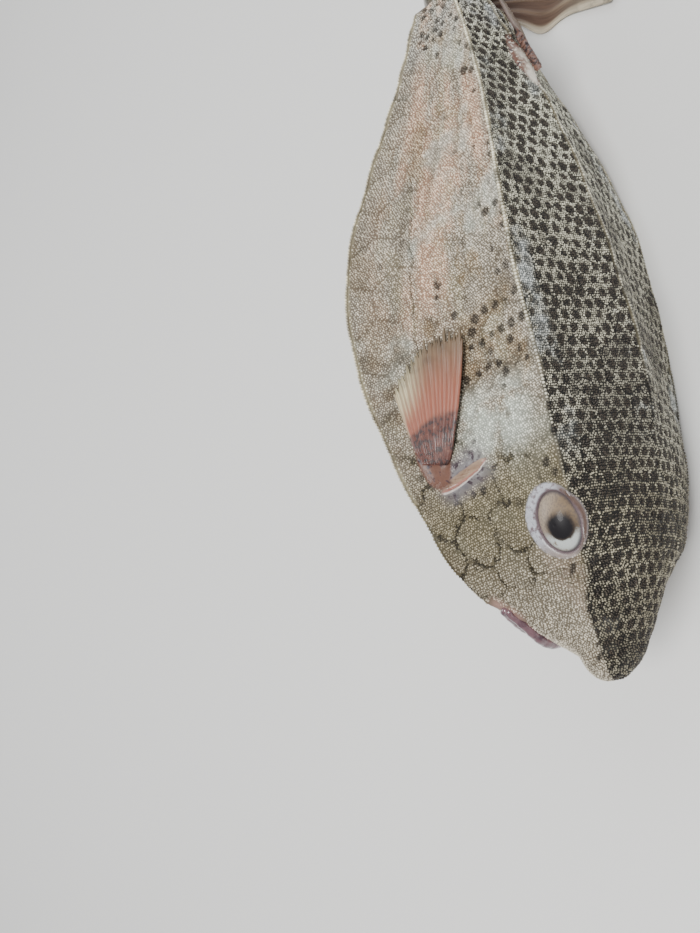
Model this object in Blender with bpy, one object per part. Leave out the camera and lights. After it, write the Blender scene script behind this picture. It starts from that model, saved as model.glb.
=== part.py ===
"""Life-size still model of a horn-nosed boxfish lying on its left flank.

The fish is drawn in its own coordinates, in millimetres: t runs from the snout
to the tail, r points to the fish's right and d to its back. to_floor() lays it
on the floor: right side up, snout towards -X and back towards -Y.
"""
import math

import bmesh
import bpy
import numpy as np

MM = 0.001
TOUCH_GAP = 0.3            # between pieces that touch
FLOOR_FLAT = 0.5           # depth of the small flats that the keels rest on

# Carapace: t, half width and height of the back ridge, height of the midline of
# the back, half width and height of the belly keel.
CARAPACE_LENGTH = 225.0
STATIONS = (
    (7.0, 10.0, -8.0, -2.0, 7.8, -22.3),
    (18.0, 13.5, -3.0, 4.5, 12.5, -33.0),
    (32.0, 25.0, 3.5, 11.5, 23.5, -38.5),
    (54.0, 31.8, 8.0, 17.5, 34.0, -40.5),
    (76.0, 33.5, 11.0, 22.0, 40.5, -42.0),
    (104.0, 36.5, 14.0, 23.5, 44.5, -43.0),
    (135.0, 34.5, 16.0, 23.0, 42.0, -40.0),
    (169.0, 26.5, 14.5, 20.0, 31.0, -30.0),
    (198.0, 18.5, 10.5, 15.0, 20.5, -19.0),
    (225.0, 13.0, 6.5, 9.5, 12.5, -9.5),
)
NOSE_TIP = (-1.5, -15.5)   # t and height of the very tip
NOSE_DOME = 13.0           # length of the rounded nose
NOSE_RING = 1.6            # first ring of the net behind the tip
BACK_DIP = 0.9             # hollow of each half of the back
FLANK_DIP = 4.6            # hollow of the flank behind the head
CHEEK_BULGE = 1.2
BROW_BULGE = 1.8           # the back is rounded over the eyes
BELLY_BULGE = 5.0
LARGEST_KEEL = 44.5

# Plates: columns of the hexagon net over half a section, and its pitch.
BACK_COLUMNS = 5
FLANK_COLUMNS = 7
BELLY_COLUMNS = 6
HALF_COLUMNS = BACK_COLUMNS + FLANK_COLUMNS + BELLY_COLUMNS
COLUMNS = 2 * HALF_COLUMNS
PITCH_OF_GIRTH = 0.0335    # row pitch over the girth of the section
LEAST_PITCH = 4.4
PLATES_START = 11.0        # the nose in front of this is smooth
PLATE_HEIGHT = 0.45
PLATE_TOP = 0.70           # size of the raised top over the whole plate
HEAD_END = 76.0

# Eyes
EYE_T = 38.6
EYE_FLANK = 0.125           # place down the flank, 0 at the back ridge
EYE_HALF = (8.3, 6.5, 5.0)     # along the body, across it and outwards
EYE_SUNK = 2.7
LID_HALF = (8.2, 6.5)      # half length and half width of the ring around the eye
LID_RADIUS = 1.25
LID_SUNK = 1.05
LID_STEPS = 24
NOSTRILS = ((27.5, 0.20), (24.5, 0.24))
NOSTRIL_HALF = (1.1, 1.0, 1.6)

# Mouth
MOUTH_T = 17.0
MOUTH_BACK = 7.0           # how far the corners lie behind the middle
LIP_COLUMNS = 6.4          # half width in columns of the net
LIP_RADIUS = 2.3
LIP_SPREAD = 2.3           # half distance between the two lips
LIP_STAND = 1.5            # how far the middle of a lip stands out of the snout
LOWER_LIP = 0.92           # girth of the lower lip over the upper one
MOUTH_LINE_RADIUS = 0.9

# Gill opening, from its lower to its upper end
GILL_LOW = (58.0, 0.80)
GILL_HIGH = (61.5, 0.43)
GILL_HALF = (1.7, 10.0, 2.6)
GILL_RIM_AHEAD = 2.6
GILL_RIM_RADIUS = 1.15

# Pectoral fins: base and tips on the flank as (t, place down the flank)
PECTORAL_LOW = (67.5, 0.83)
PECTORAL_HIGH = (64.5, 0.69)
PECTORAL_TIP_LOW = (92.0, 0.84)
PECTORAL_TIP_HIGH = (100.5, 0.33)
PECTORAL_TIP_BOW = 5.5     # how far the rounded tip bows out
PECTORAL_RAYS = 11
PECTORAL_STAND = 2.15      # middle of the root over the shell
PECTORAL_LIFT = {"right": 2.6, "left": 1.2}     # the left fin is pressed flat
PECTORAL_FLESH = 1.3       # extra thickness of the fleshy base

# All fins
FIN_THICKNESS = 0.9
RAY_HEIGHT = 0.5
ROOT_STAND = 2.6           # middle of a midline fin's fleshy root over the shell

# Tail stalk, in floor coordinates: it leaves the shell, bends down and round
STALK_START = -1.5         # height of its middle in the shell's rear end
STALK_END = (259.5, 11.0, 4.3)
STALK_LEAVES = (66.0, 3.0, -2.0)
STALK_ARRIVES = (-22.6, -62.0, -8.0)
STALK_STEPS = 24
STALK_TALL = 8.6           # half height of the stalk, in the fish's own upright sense
STALK_TALL_ROOT = 2.2      # what the root adds to it
STALK_WAIST = 1.6          # what the waist takes off it
STALK_FLARE = 1.2          # what the fin end adds to it
STALK_THIN = 3.6           # half thickness where the fin begins
STALK_THICK_ROOT = 7.2     # what the root adds to it
STALK_THICK_MIDDLE = 0.6

# Tail fin: a fan that lies on the floor
TAIL_FIN_ROOT = 8.0        # half height of its root
TAIL_FIN_LENGTH = 74.0
TAIL_FIN_SPREAD = 23.5     # what each half gains from root to margin
TAIL_FIN_FLARE = 0.5       # under 1 the outer rays spread at once
TAIL_FIN_ROUND = 0.2       # how much shorter the outermost rays are
TAIL_FIN_LOBE = (5.0, 0.43, 0.14)      # lobe of the short first rays: size, place, width
TAIL_FIN_WAVE = 1.0        # the fin's upper edge curls off the floor
TAIL_FIN_RAYS = 10

# Fins on the midlines: base, length of the first ray, angles of the first and last ray
DORSAL_START = 183.0
DORSAL_BASE = 16.0
DORSAL_REACH = 35.0
DORSAL_RISE = (-14.4, -9.7)     # degrees, first and last ray
DORSAL_SWEEP = (24.0, 3.0)      # degrees that the first and last ray lie over to the left
ANAL_START = 204.0
ANAL_BASE = 12.0
ANAL_REACH = 28.0
ANAL_DROP = (46.0, 26.0)
ANAL_LEAN = (0.3, 0.65)    # sideways share of the drop, at the root and at the tip
MIDLINE_FIN_RAYS = 9
LAST_RAY = 0.8             # last ray over the first one

COLOURS = {
    "head": (0.42, 0.37, 0.24, 0.42),
    "trunk": (0.42, 0.37, 0.27, 0.42),
    "stalk": (0.10, 0.08, 0.05, 0.30),
    "fin": (0.36, 0.25, 0.16, 0.45),
    "eye": (0.10, 0.08, 0.05, 0.10),
}


def clear_scene():
    for thing in list(bpy.data.objects):
        bpy.data.objects.remove(thing, do_unlink=True)


def smooth_step(low, high, value):
    x = min(1.0, max(0.0, (value - low) / (high - low)))
    return x * x * (3.0 - 2.0 * x)


def station_values(t):
    """Cubic curve through the stations, flat-ended, for all five sizes at once."""
    table = np.array(STATIONS)
    ts = table[:, 0]
    values = table[:, 1:]
    t = min(max(t, ts[0]), ts[-1])
    i = min(int(np.searchsorted(ts, t, side="right")) - 1, len(ts) - 2)
    steps = np.diff(ts)
    slopes = np.diff(values, axis=0) / steps[:, None]

    def tangent(k):
        if k == 0:
            return slopes[0]
        if k == len(ts) - 1:
            return slopes[-1]
        a, b = steps[k - 1], steps[k]
        return (slopes[k - 1] * b + slopes[k] * a) / (a + b)

    h = steps[i]
    x = (t - ts[i]) / h
    return (values[i] * (1 + 2 * x) * (1 - x) ** 2 + tangent(i) * h * x * (1 - x) ** 2
            + values[i + 1] * x * x * (3 - 2 * x) + tangent(i + 1) * h * x * x * (x - 1))


def section_point(t, column):
    """Point (t, r, d) of the carapace; column 0 is the midline of the back."""
    column = (column + HALF_COLUMNS) % COLUMNS - HALF_COLUMNS
    side = 1.0 if column >= 0 else -1.0
    q = abs(column)
    back_w, back_d, mid_d, keel_w, keel_d = station_values(t)
    size = keel_w / LARGEST_KEEL
    belly_d = keel_d - BELLY_BULGE * size
    if q <= BACK_COLUMNS:
        x = q / BACK_COLUMNS
        start, end = (0.0, mid_d), (back_w, back_d)
        swell = BROW_BULGE * (1 - smooth_step(48, 84, t)) - BACK_DIP * size * smooth_step(60, 96, t)
    elif q <= BACK_COLUMNS + FLANK_COLUMNS:
        x = (q - BACK_COLUMNS) / FLANK_COLUMNS
        start, end = (back_w, back_d), (keel_w, keel_d)
        hollow = FLANK_DIP * smooth_step(52, 92, t) * (1 - 0.75 * smooth_step(165, 222, t))
        swell = CHEEK_BULGE * (1 - smooth_step(48, 76, t)) - hollow
    else:
        x = (q - BACK_COLUMNS - FLANK_COLUMNS) / BELLY_COLUMNS
        start, end = (keel_w, keel_d), (0.0, belly_d)
        swell = BELLY_BULGE * size * 0.55
    along = (end[0] - start[0], end[1] - start[1])
    length = math.hypot(*along) or 1.0
    bulge = swell * math.sin(math.pi * x) ** (1.0 if swell > 0 else 0.7)
    r = start[0] + along[0] * x - along[1] / length * bulge
    d = start[1] + along[1] * x + along[0] / length * bulge
    # the snout rounds off to an oval
    round_part = 1.0 - smooth_step(8.0, 30.0, t)
    if round_part > 0:
        middle = 0.5 * (mid_d + belly_d)
        angle = math.pi * q / HALF_COLUMNS
        oval_r = 0.98 * max(back_w, keel_w) * math.sin(angle)
        oval_d = middle + 0.5 * (mid_d - belly_d) * math.cos(angle)
        r += (oval_r - r) * round_part * 0.8
        d += (oval_d - d) * round_part * 0.8
    left = 1.0 - (t - NOSE_TIP[0]) / NOSE_DOME
    if left > 0:
        middle = 0.5 * (mid_d + belly_d)
        dome = math.sqrt(max(0.0, 1.0 - left ** 2))
        sink = (NOSE_TIP[1] - middle) * left ** 2
        r *= dome
        d = middle + (d - middle) * dome + sink
    return np.array((t, side * max(r, 0.0), d))


def flank_point(t, place, side=1.0):
    """Point and outward normal on the flank; place 0 is the back ridge, 1 the keel."""
    column = side * (BACK_COLUMNS + FLANK_COLUMNS * place)
    return section_point(t, column), surface_normal(t, column)


def surface_normal(t, column):
    step_t, step_q = 1.2, 0.15
    along = section_point(min(t + step_t, CARAPACE_LENGTH), column) - section_point(t - step_t, column)
    across = section_point(t, column + step_q) - section_point(t, column - step_q)
    normal = np.cross(along, across)
    size = np.linalg.norm(normal)
    point = section_point(t, column)
    outward = np.array((0.0, point[1], point[2] + 10.0))
    if size < 1e-9:
        return outward / (np.linalg.norm(outward) or 1.0)
    normal = normal / size
    return normal if normal @ outward > 0 else -normal


def rest_frame():
    """Tilt about the body's line and floor level, from the two keels it lies on."""
    ts = np.linspace(80.0, 130.0, 51)
    back = max((section_point(t, BACK_COLUMNS) for t in ts), key=lambda p: p[1])
    keel = max((section_point(t, BACK_COLUMNS + FLANK_COLUMNS) for t in ts), key=lambda p: p[1])
    tilt = math.atan2(keel[1] - back[1], back[2] - keel[2])
    level = max(p[1] * math.cos(tilt) + p[2] * math.sin(tilt) for p in (back, keel))
    return tilt, level - FLOOR_FLAT


TILT, REST_LEVEL = rest_frame()


def to_floor(points):
    """Fish coordinates to floor coordinates, still in millimetres."""
    p = np.atleast_2d(np.array(points, float))
    c, s = math.cos(TILT), math.sin(TILT)
    return np.stack((p[:, 0], -(p[:, 2] * c + p[:, 1] * s), p[:, 1] * c - p[:, 2] * s + REST_LEVEL), 1)


def material(name, colour_key):
    r, g, b, roughness = COLOURS[colour_key]
    made = bpy.data.materials.new(name)
    made.use_nodes = True
    shader = made.node_tree.nodes["Principled BSDF"]
    shader.inputs["Base Color"].default_value = (r, g, b, 1.0)
    shader.inputs["Roughness"].default_value = roughness
    shader.inputs["Metallic"].default_value = 0.0
    return made


def new_object(name, points, faces):
    """A mesh object from points in floor millimetres, its faces turned outwards."""
    mesh = bpy.data.meshes.new(name)
    mesh.from_pydata([tuple(p * MM) for p in np.array(points, float)], [], faces)
    made = bpy.data.objects.new(name, mesh)
    bpy.context.scene.collection.objects.link(made)
    work = bmesh.new()
    work.from_mesh(mesh)
    bmesh.ops.recalc_face_normals(work, faces=work.faces)
    work.to_mesh(mesh)
    work.free()
    return made


def row_pitch(t):
    ring = np.array([section_point(t, q) for q in range(COLUMNS)])
    girth = np.linalg.norm(ring - np.roll(ring, 1, axis=0), axis=1).sum()
    return max(LEAST_PITCH, PITCH_OF_GIRTH * girth)


def row_table():
    """Row number of the plate net at steps along the body, a quarter past a row at the neck."""
    ts = np.linspace(NOSE_TIP[0], CARAPACE_LENGTH, 451)
    density = np.array([1.0 / row_pitch(t) for t in ts])
    rows = np.concatenate(([0.0], np.cumsum(0.5 * (density[1:] + density[:-1]) * np.diff(ts))))
    neck = np.interp(HEAD_END, ts, rows)
    return ts, rows + (round(neck) + 0.25 - neck)


ROW_TS, ROW_NUMBERS = row_table()


def row_t(row):
    return float(np.interp(row, ROW_NUMBERS, ROW_TS))


def carapace_tube(name, t_start, t_end, nose):
    """Closed length of carapace whose surface is a net of raised six-sided plates."""
    points = []
    columns = []
    first = math.ceil(ROW_NUMBERS[0])
    last = math.floor(ROW_NUMBERS[-1])
    for q in range(COLUMNS):
        shift = 0.5 * (q % 2)
        column = []
        column.append((len(points), None))
        points.append(section_point(t_start + NOSE_RING * nose, q))
        for j in range(first, last + 1):
            t = row_t(j + shift)
            if t_start + 1.0 + 2 * NOSE_RING * nose < t < t_end - 1.0:
                column.append((len(points), j if t > PLATES_START else None))
                points.append(section_point(t, q))
        column.append((len(points), None))
        points.append(section_point(t_end, q))
        columns.append(column)
    faces = []
    for q in range(COLUMNS):
        left, right = columns[q], columns[(q + 1) % COLUMNS]
        i = k = 0
        while i < len(left) - 1 or k < len(right) - 1:
            next_left = points[left[i + 1][0]][0] if i < len(left) - 1 else math.inf
            next_right = points[right[k + 1][0]][0] if k < len(right) - 1 else math.inf
            if next_left <= next_right:
                faces.append((left[i][0], right[k][0], left[i + 1][0]))
                i += 1
            else:
                faces.append((left[i][0], right[k][0], right[k + 1][0]))
                k += 1
    if nose:
        tip = len(points)
        points.append(np.array((NOSE_TIP[0], 0.0, NOSE_TIP[1])))
        ring = [column[0][0] for column in columns]
        faces += [(tip, ring[(q + 1) % COLUMNS], ring[q]) for q in range(COLUMNS)]
    else:
        faces.append(tuple(column[0][0] for column in columns))
    faces.append(tuple(column[-1][0] for column in reversed(columns)))
    points, faces = raise_plates(points, faces, columns)
    return new_object(name, to_floor(points), faces)


def raise_plates(points, faces, columns):
    """Every third point of the net is a plate's centre: its six triangles become a plate."""
    numbers = {}
    for q, column in enumerate(columns):
        for index, j in column:
            if j is not None:
                numbers[index] = (q, j)
    around = {}
    for face in faces:
        if len(face) == 3:
            for corner in face:
                around.setdefault(corner, []).append(face)
    dropped = set()
    added = []
    for index, (q, j) in numbers.items():
        if (q - j + q // 2) % 3 or any(c not in numbers for f in around[index] for c in f):
            continue
        if len(around[index]) != 6:
            continue
        t0, q0 = points[index][0], q
        ring = {}
        for face in around[index]:
            dropped.add(face)
            for corner in face:
                if corner != index and corner not in ring:
                    q1 = numbers[corner][0]
                    turn = (q1 - q0 + HALF_COLUMNS) % COLUMNS - HALF_COLUMNS
                    t = t0 + (points[corner][0] - t0) * PLATE_TOP
                    column = q0 + turn * PLATE_TOP
                    ring[corner] = len(points)
                    points.append(section_point(t, column) + PLATE_HEIGHT * surface_normal(t, column))
        centre = len(points)
        points.append(section_point(t0, q0) + PLATE_HEIGHT * surface_normal(t0, q0))
        for face in around[index]:
            turn = face.index(index)
            a, b = face[(turn + 1) % 3], face[(turn + 2) % 3]
            added += [(centre, ring[a], ring[b]), (ring[a], a, b), (ring[a], b, ring[b])]
    kept = [face for face in faces if face not in dropped] + added
    used = sorted({corner for face in kept for corner in face})
    order = {old: new for new, old in enumerate(used)}
    return [points[k] for k in used], [tuple(order[c] for c in face) for face in kept]


def loft(name, rings):
    """Closed tube through rings of points, its ends filled flat."""
    count = len(rings[0])
    points = [p for ring in rings for p in ring]
    faces = []
    for i in range(len(rings) - 1):
        for k in range(count):
            a, b = i * count + k, i * count + (k + 1) % count
            faces.append((a, b, b + count, a + count))
    faces.append(tuple(reversed(range(count))))
    faces.append(tuple((len(rings) - 1) * count + k for k in range(count)))
    return new_object(name, points, faces)


def ellipsoid(name, centre, axes, halves, segments=22, rings=11):
    """Oval ball in fish coordinates; axes are three unit vectors, halves its half sizes."""
    points = [centre + axes[2] * halves[2]]
    for i in range(1, rings):
        polar = math.pi * i / rings
        for k in range(segments):
            turn = 2 * math.pi * k / segments
            points.append(centre + axes[0] * halves[0] * math.sin(polar) * math.cos(turn)
                          + axes[1] * halves[1] * math.sin(polar) * math.sin(turn)
                          + axes[2] * halves[2] * math.cos(polar))
    points.append(centre - axes[2] * halves[2])
    faces = []
    for k in range(segments):
        faces.append((0, 1 + k, 1 + (k + 1) % segments))
        base = 1 + (rings - 2) * segments
        faces.append((len(points) - 1, base + (k + 1) % segments, base + k))
    for i in range(rings - 2):
        for k in range(segments):
            a = 1 + i * segments + k
            b = 1 + i * segments + (k + 1) % segments
            faces.append((a, a + segments, b + segments, b))
    return new_object(name, to_floor(points), faces)


def bent_rod(name, path, radii, sides=10, closed=False):
    """Round rod along points in fish coordinates, with a radius at each; closed makes a ring."""
    path = np.array(path, float)
    count = len(path)
    rings = []
    up = None
    for i in range(count):
        if closed:
            along = path[(i + 1) % count] - path[i - 1]
        else:
            along = path[min(i + 1, count - 1)] - path[max(i - 1, 0)]
        along = along / np.linalg.norm(along)
        if up is None:
            up = np.cross(along, (0.3, 0.9, 0.2))
        up = up - along * (up @ along)
        up = up / np.linalg.norm(up)
        side = np.cross(along, up)
        rings.append([path[i] + radii[i] * (up * math.cos(2 * math.pi * k / sides)
                                            + side * math.sin(2 * math.pi * k / sides))
                      for k in range(sides)])
    rings = [to_floor(ring) for ring in rings]
    if not closed:
        return loft(name, rings)
    points = [p for ring in rings for p in ring]
    # the last ring meets the first one at its nearest turn
    start = rings[0][0]
    shift = int(np.argmin([np.linalg.norm(p - start) for p in rings[-1]]))
    faces = []
    for i in range(count):
        j = (i + 1) % count
        for k in range(sides):
            a, b = i * sides + k, i * sides + (k + 1) % sides
            if j:
                c, e = j * sides + (k + 1) % sides, j * sides + k
            else:
                c, e = (k + 1 - shift) % sides, (k - shift) % sides
            faces.append((a, b, c, e))
    return new_object(name, points, faces)


def combine(base, pieces, operation, solver="EXACT"):
    """One Boolean of base with a collection of closed pieces, applied; the pieces go."""
    group = bpy.data.collections.new(base.name + "_pieces")
    bpy.context.scene.collection.children.link(group)
    for piece in pieces:
        bpy.context.scene.collection.objects.unlink(piece)
        group.objects.link(piece)
    cut = base.modifiers.new(operation.lower(), "BOOLEAN")
    cut.operation = operation
    cut.operand_type = "COLLECTION"
    cut.collection = group
    cut.solver = solver
    bpy.context.view_layer.update()
    view = bpy.context.evaluated_depsgraph_get()
    result = bpy.data.meshes.new_from_object(base.evaluated_get(view))
    base.modifiers.clear()
    old = base.data
    base.data = result
    bpy.data.meshes.remove(old)
    for piece in list(group.objects):
        bpy.data.objects.remove(piece, do_unlink=True)
    bpy.data.collections.remove(group)
    keep_largest_shell(base)


def keep_largest_shell(thing):
    work = bmesh.new()
    work.from_mesh(thing.data)
    bmesh.ops.remove_doubles(work, verts=work.verts, dist=2e-6)
    seen = set()
    shells = []
    for start in work.faces:
        if start in seen:
            continue
        shell = []
        stack = [start]
        seen.add(start)
        while stack:
            face = stack.pop()
            shell.append(face)
            for edge in face.edges:
                for other in edge.link_faces:
                    if other not in seen:
                        seen.add(other)
                        stack.append(other)
        shells.append(shell)
    shells.sort(key=len)
    for shell in shells[:-1]:
        bmesh.ops.delete(work, geom=shell, context="FACES")
    work.to_mesh(thing.data)
    work.free()


def flank_axes(t, place, side):
    point, normal = flank_point(t, place, side)
    back = np.array((1.0, 0.0, 0.0))
    back = back - normal * (back @ normal)
    back /= np.linalg.norm(back)
    return point, (back, np.cross(normal, back), normal)


def make_eyes_and_sockets():
    """The two eyeballs, the sockets that hold them and the lids around them."""
    lids, sockets = [], []
    for side, word in ((1.0, "right"), (-1.0, "left")):
        point, axes = flank_axes(EYE_T, EYE_FLANK, side)
        centre = point - axes[2] * EYE_SUNK
        ellipsoid("eye_" + word, centre, axes, EYE_HALF)
        roomy = [half + TOUCH_GAP for half in EYE_HALF]
        sockets.append(ellipsoid("socket_" + word, centre, axes, roomy))
        ring = []
        for k in range(LID_STEPS):
            turn = 2 * math.pi * k / LID_STEPS
            ring.append(point + axes[0] * LID_HALF[0] * math.cos(turn)
                        + axes[1] * LID_HALF[1] * math.sin(turn) - axes[2] * LID_SUNK)
        lids.append(bent_rod("lid_" + word, ring, [LID_RADIUS] * LID_STEPS, sides=8, closed=True))
    return lids, sockets


def mouth_place(x, ahead, lift):
    """Point by the mouth: x runs from corner to corner, ahead towards the nose, lift outwards."""
    column = HALF_COLUMNS - LIP_COLUMNS * abs(x) - 0.01
    t = MOUTH_T + MOUTH_BACK * x * x - ahead
    side = 1.0 if x >= 0 else -1.0
    point = section_point(t, side * column)
    normal = surface_normal(t, side * column)
    if abs(x) < 0.02:
        normal[1] = 0.0
    return point + normal * lift


def make_lips():
    """Two thick lips that run back to the corners, and the cutter for the line between."""
    lips = []
    for name, sense, girth in (("upper", 1.0, 1.0), ("lower", -1.0, LOWER_LIP)):
        path, radii = [], []
        for k in range(13):
            x = -1.0 + 2.0 * k / 12
            bow = 1.0 - x * x
            path.append(mouth_place(x, sense * LIP_SPREAD * bow ** 0.6, LIP_STAND * bow - 0.4))
            radii.append(LIP_RADIUS * girth * (0.5 + 0.5 * bow))
        lips.append(bent_rod("lip_" + name, path, radii, sides=8))
    line = [mouth_place(-0.92 + 1.84 * k / 10, 0.0, LIP_STAND + 1.0) for k in range(11)]
    return lips, bent_rod("mouth_line", line, [MOUTH_LINE_RADIUS] * len(line), sides=6)


def make_gills():
    """Gill openings: a slanting hollow with a raised front edge on each side."""
    rims, hollows = [], []
    for side in (1.0, -1.0):
        low, low_out = flank_point(*GILL_LOW, side)
        high, high_out = flank_point(*GILL_HIGH, side)
        normal = (low_out + high_out) / np.linalg.norm(low_out + high_out)
        along = (high - low) / np.linalg.norm(high - low)
        across = np.cross(normal, along)
        middle = 0.5 * (low + high)
        hollows.append(ellipsoid("gill_hollow", middle + normal * 0.4, (across, along, normal),
                                 GILL_HALF, 20, 10))
        front = across if across[0] < 0 else -across
        rim = []
        for k in range(11):
            x = -1.0 + 2.0 * k / 10
            t = GILL_LOW[0] + (GILL_HIGH[0] - GILL_LOW[0]) * 0.5 * (1 + x)
            place = GILL_LOW[1] + (GILL_HIGH[1] - GILL_LOW[1]) * 0.5 * (1 + x)
            point, out = flank_point(t, place, side)
            rim.append(point + front * GILL_RIM_AHEAD * math.sqrt(1 - 0.9 * x * x) + out * 0.1)
        rims.append(bent_rod("gill_rim", rim, [GILL_RIM_RADIUS] * len(rim), sides=6))
    return rims, hollows


def make_nostrils():
    pits = []
    for side in (1.0, -1.0):
        for t, place in NOSTRILS:
            point, axes = flank_axes(t, place, side)
            pits.append(ellipsoid("nostril", point, axes, NOSTRIL_HALF, 10, 6))
    return pits


def make_head():
    head = carapace_tube("head", NOSE_TIP[0], HEAD_END, nose=True)
    lids, sockets = make_eyes_and_sockets()
    lips, mouth_line = make_lips()
    rims, hollows = make_gills()
    combine(head, lids + lips + rims, "UNION")
    combine(head, sockets + [mouth_line] + hollows + make_nostrils(), "DIFFERENCE")


def make_trunk():
    carapace_tube("trunk", HEAD_END + TOUCH_GAP, CARAPACE_LENGTH, nose=False)


def fin_solid(spot, rays, rows, thickness):
    """Fin whose middle sheet is spot(x, y), x across the rays and y from root to tip.

    The rays are ridges in both faces, and both faces have like triangles.
    """
    columns = 2 * rays + 1
    grid = np.array([[spot(j / (columns - 1), i / rows) for j in range(columns)]
                     for i in range(rows + 1)])
    normal = np.cross(np.gradient(grid, axis=1), np.gradient(grid, axis=0))
    normal /= np.linalg.norm(normal, axis=2, keepdims=True)
    half = np.zeros((rows + 1, columns, 1))
    for i in range(rows + 1):
        y = i / rows
        half[i, :, 0] = 0.5 * thickness(y)
        half[i, 1::2, 0] += 0.5 * RAY_HEIGHT * (1 - 0.6 * y)
    count = (rows + 1) * columns
    points = list((grid + normal * half).reshape(-1, 3)) + list((grid - normal * half).reshape(-1, 3))
    faces = []
    for i in range(rows):
        for j in range(columns - 1):
            a, b = i * columns + j, i * columns + j + 1
            c, e = a + columns, b + columns
            if j % 2:
                faces += [(a, b, e), (a, e, c)]
                faces += [(count + a, count + e, count + b), (count + a, count + c, count + e)]
            else:
                faces += [(a, b, c), (b, e, c)]
                faces += [(count + a, count + c, count + b), (count + b, count + c, count + e)]
    edge = list(range(columns))
    edge += [i * columns + columns - 1 for i in range(1, rows + 1)]
    edge += [rows * columns + j for j in range(columns - 2, -1, -1)]
    edge += [i * columns for i in range(rows - 1, 0, -1)]
    for k in range(len(edge)):
        a, b = edge[k], edge[(k + 1) % len(edge)]
        faces += [(a, count + a, b), (b, count + a, count + b)]
    return points, faces


def make_pectoral(side, word):
    """Fan folded back along the flank from a fleshy root behind the gill opening."""
    def spot(x, y):
        t_foot = PECTORAL_LOW[0] + (PECTORAL_HIGH[0] - PECTORAL_LOW[0]) * x
        t_tip = PECTORAL_TIP_LOW[0] + (PECTORAL_TIP_HIGH[0] - PECTORAL_TIP_LOW[0]) * x
        t_tip += PECTORAL_TIP_BOW * math.sin(math.pi * x)
        foot = PECTORAL_LOW[1] + (PECTORAL_HIGH[1] - PECTORAL_LOW[1]) * x
        tip = PECTORAL_TIP_LOW[1] + (PECTORAL_TIP_HIGH[1] - PECTORAL_TIP_LOW[1]) * x
        point, normal = flank_point(t_foot + (t_tip - t_foot) * y, foot + (tip - foot) * y ** 0.8, side)
        away = PECTORAL_STAND + PECTORAL_LIFT[word] * (0.35 * y + 0.5 * math.sin(math.pi * y))
        return point + normal * away

    def thickness(y):
        return FIN_THICKNESS * (1 - 0.3 * y) + PECTORAL_FLESH * (1 - smooth_step(0.05, 0.38, y))

    points, faces = fin_solid(spot, PECTORAL_RAYS, 9, thickness)
    fin = new_object("pectoral_fin_" + word, to_floor(points), faces)
    root_path = [spot(k / 6, 0.0) for k in range(7)]
    root = bent_rod("root", root_path, [1.15, 1.3, 1.3, 1.3, 1.3, 1.3, 1.15], sides=8)
    combine(fin, [root], "UNION", "MANIFOLD")


def stalk_path():
    """Middle line of the tail stalk in floor millimetres, a cubic curve."""
    start = to_floor((CARAPACE_LENGTH + TOUCH_GAP, 0.0, STALK_START))[0]
    end, leave, arrive = (np.array(v) for v in (STALK_END, STALK_LEAVES, STALK_ARRIVES))
    path = []
    for k in range(STALK_STEPS + 1):
        x = k / STALK_STEPS
        path.append(start * (1 + 2 * x) * (1 - x) ** 2 + leave * x * (1 - x) ** 2
                    + end * x * x * (3 - 2 * x) + arrive * x * x * (x - 1))
    return np.array(path)


def stalk_frames(path):
    frames = []
    up = np.array((0.0, 0.0, 1.0))
    for i in range(len(path)):
        along = path[min(i + 1, len(path) - 1)] - path[max(i - 1, 0)]
        if i == 0:
            along = np.array((1.0, 0.0, 0.0))
        along = along / np.linalg.norm(along)
        height = up - along * (up @ along)
        height /= np.linalg.norm(height)
        frames.append((path[i], along, np.cross(along, height), height))
    return frames


def stalk_ring(frame, x, count=24):
    """Oval ring at x from the shell (0) to the fin (1)."""
    centre, _, across, height = frame
    tall = STALK_TALL + STALK_TALL_ROOT * (1 - x) ** 2 - STALK_WAIST * math.sin(math.pi * x) + STALK_FLARE * x
    thick = STALK_THIN + STALK_THICK_ROOT * (1 - x) ** 1.1 + STALK_THICK_MIDDLE * math.sin(math.pi * x)
    ring = []
    for k in range(count):
        turn = 2 * math.pi * k / count
        ring.append(centre + across * tall * math.cos(turn) + height * thick * math.sin(turn))
    return ring


def make_stalk():
    frames = stalk_frames(stalk_path())
    rings = [stalk_ring(frame, i / STALK_STEPS) for i, frame in enumerate(frames)]
    half = STALK_STEPS // 2
    for name, first, last in (("tail_stalk_front", 0, half), ("tail_stalk_rear", half, STALK_STEPS)):
        piece_rings = [np.array(ring) for ring in rings[first:last + 1]]
        if first:
            along = frames[first][1]
            piece_rings[0] = piece_rings[0] + along * TOUCH_GAP
        loft(name, piece_rings)
    return frames[-1]


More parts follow.
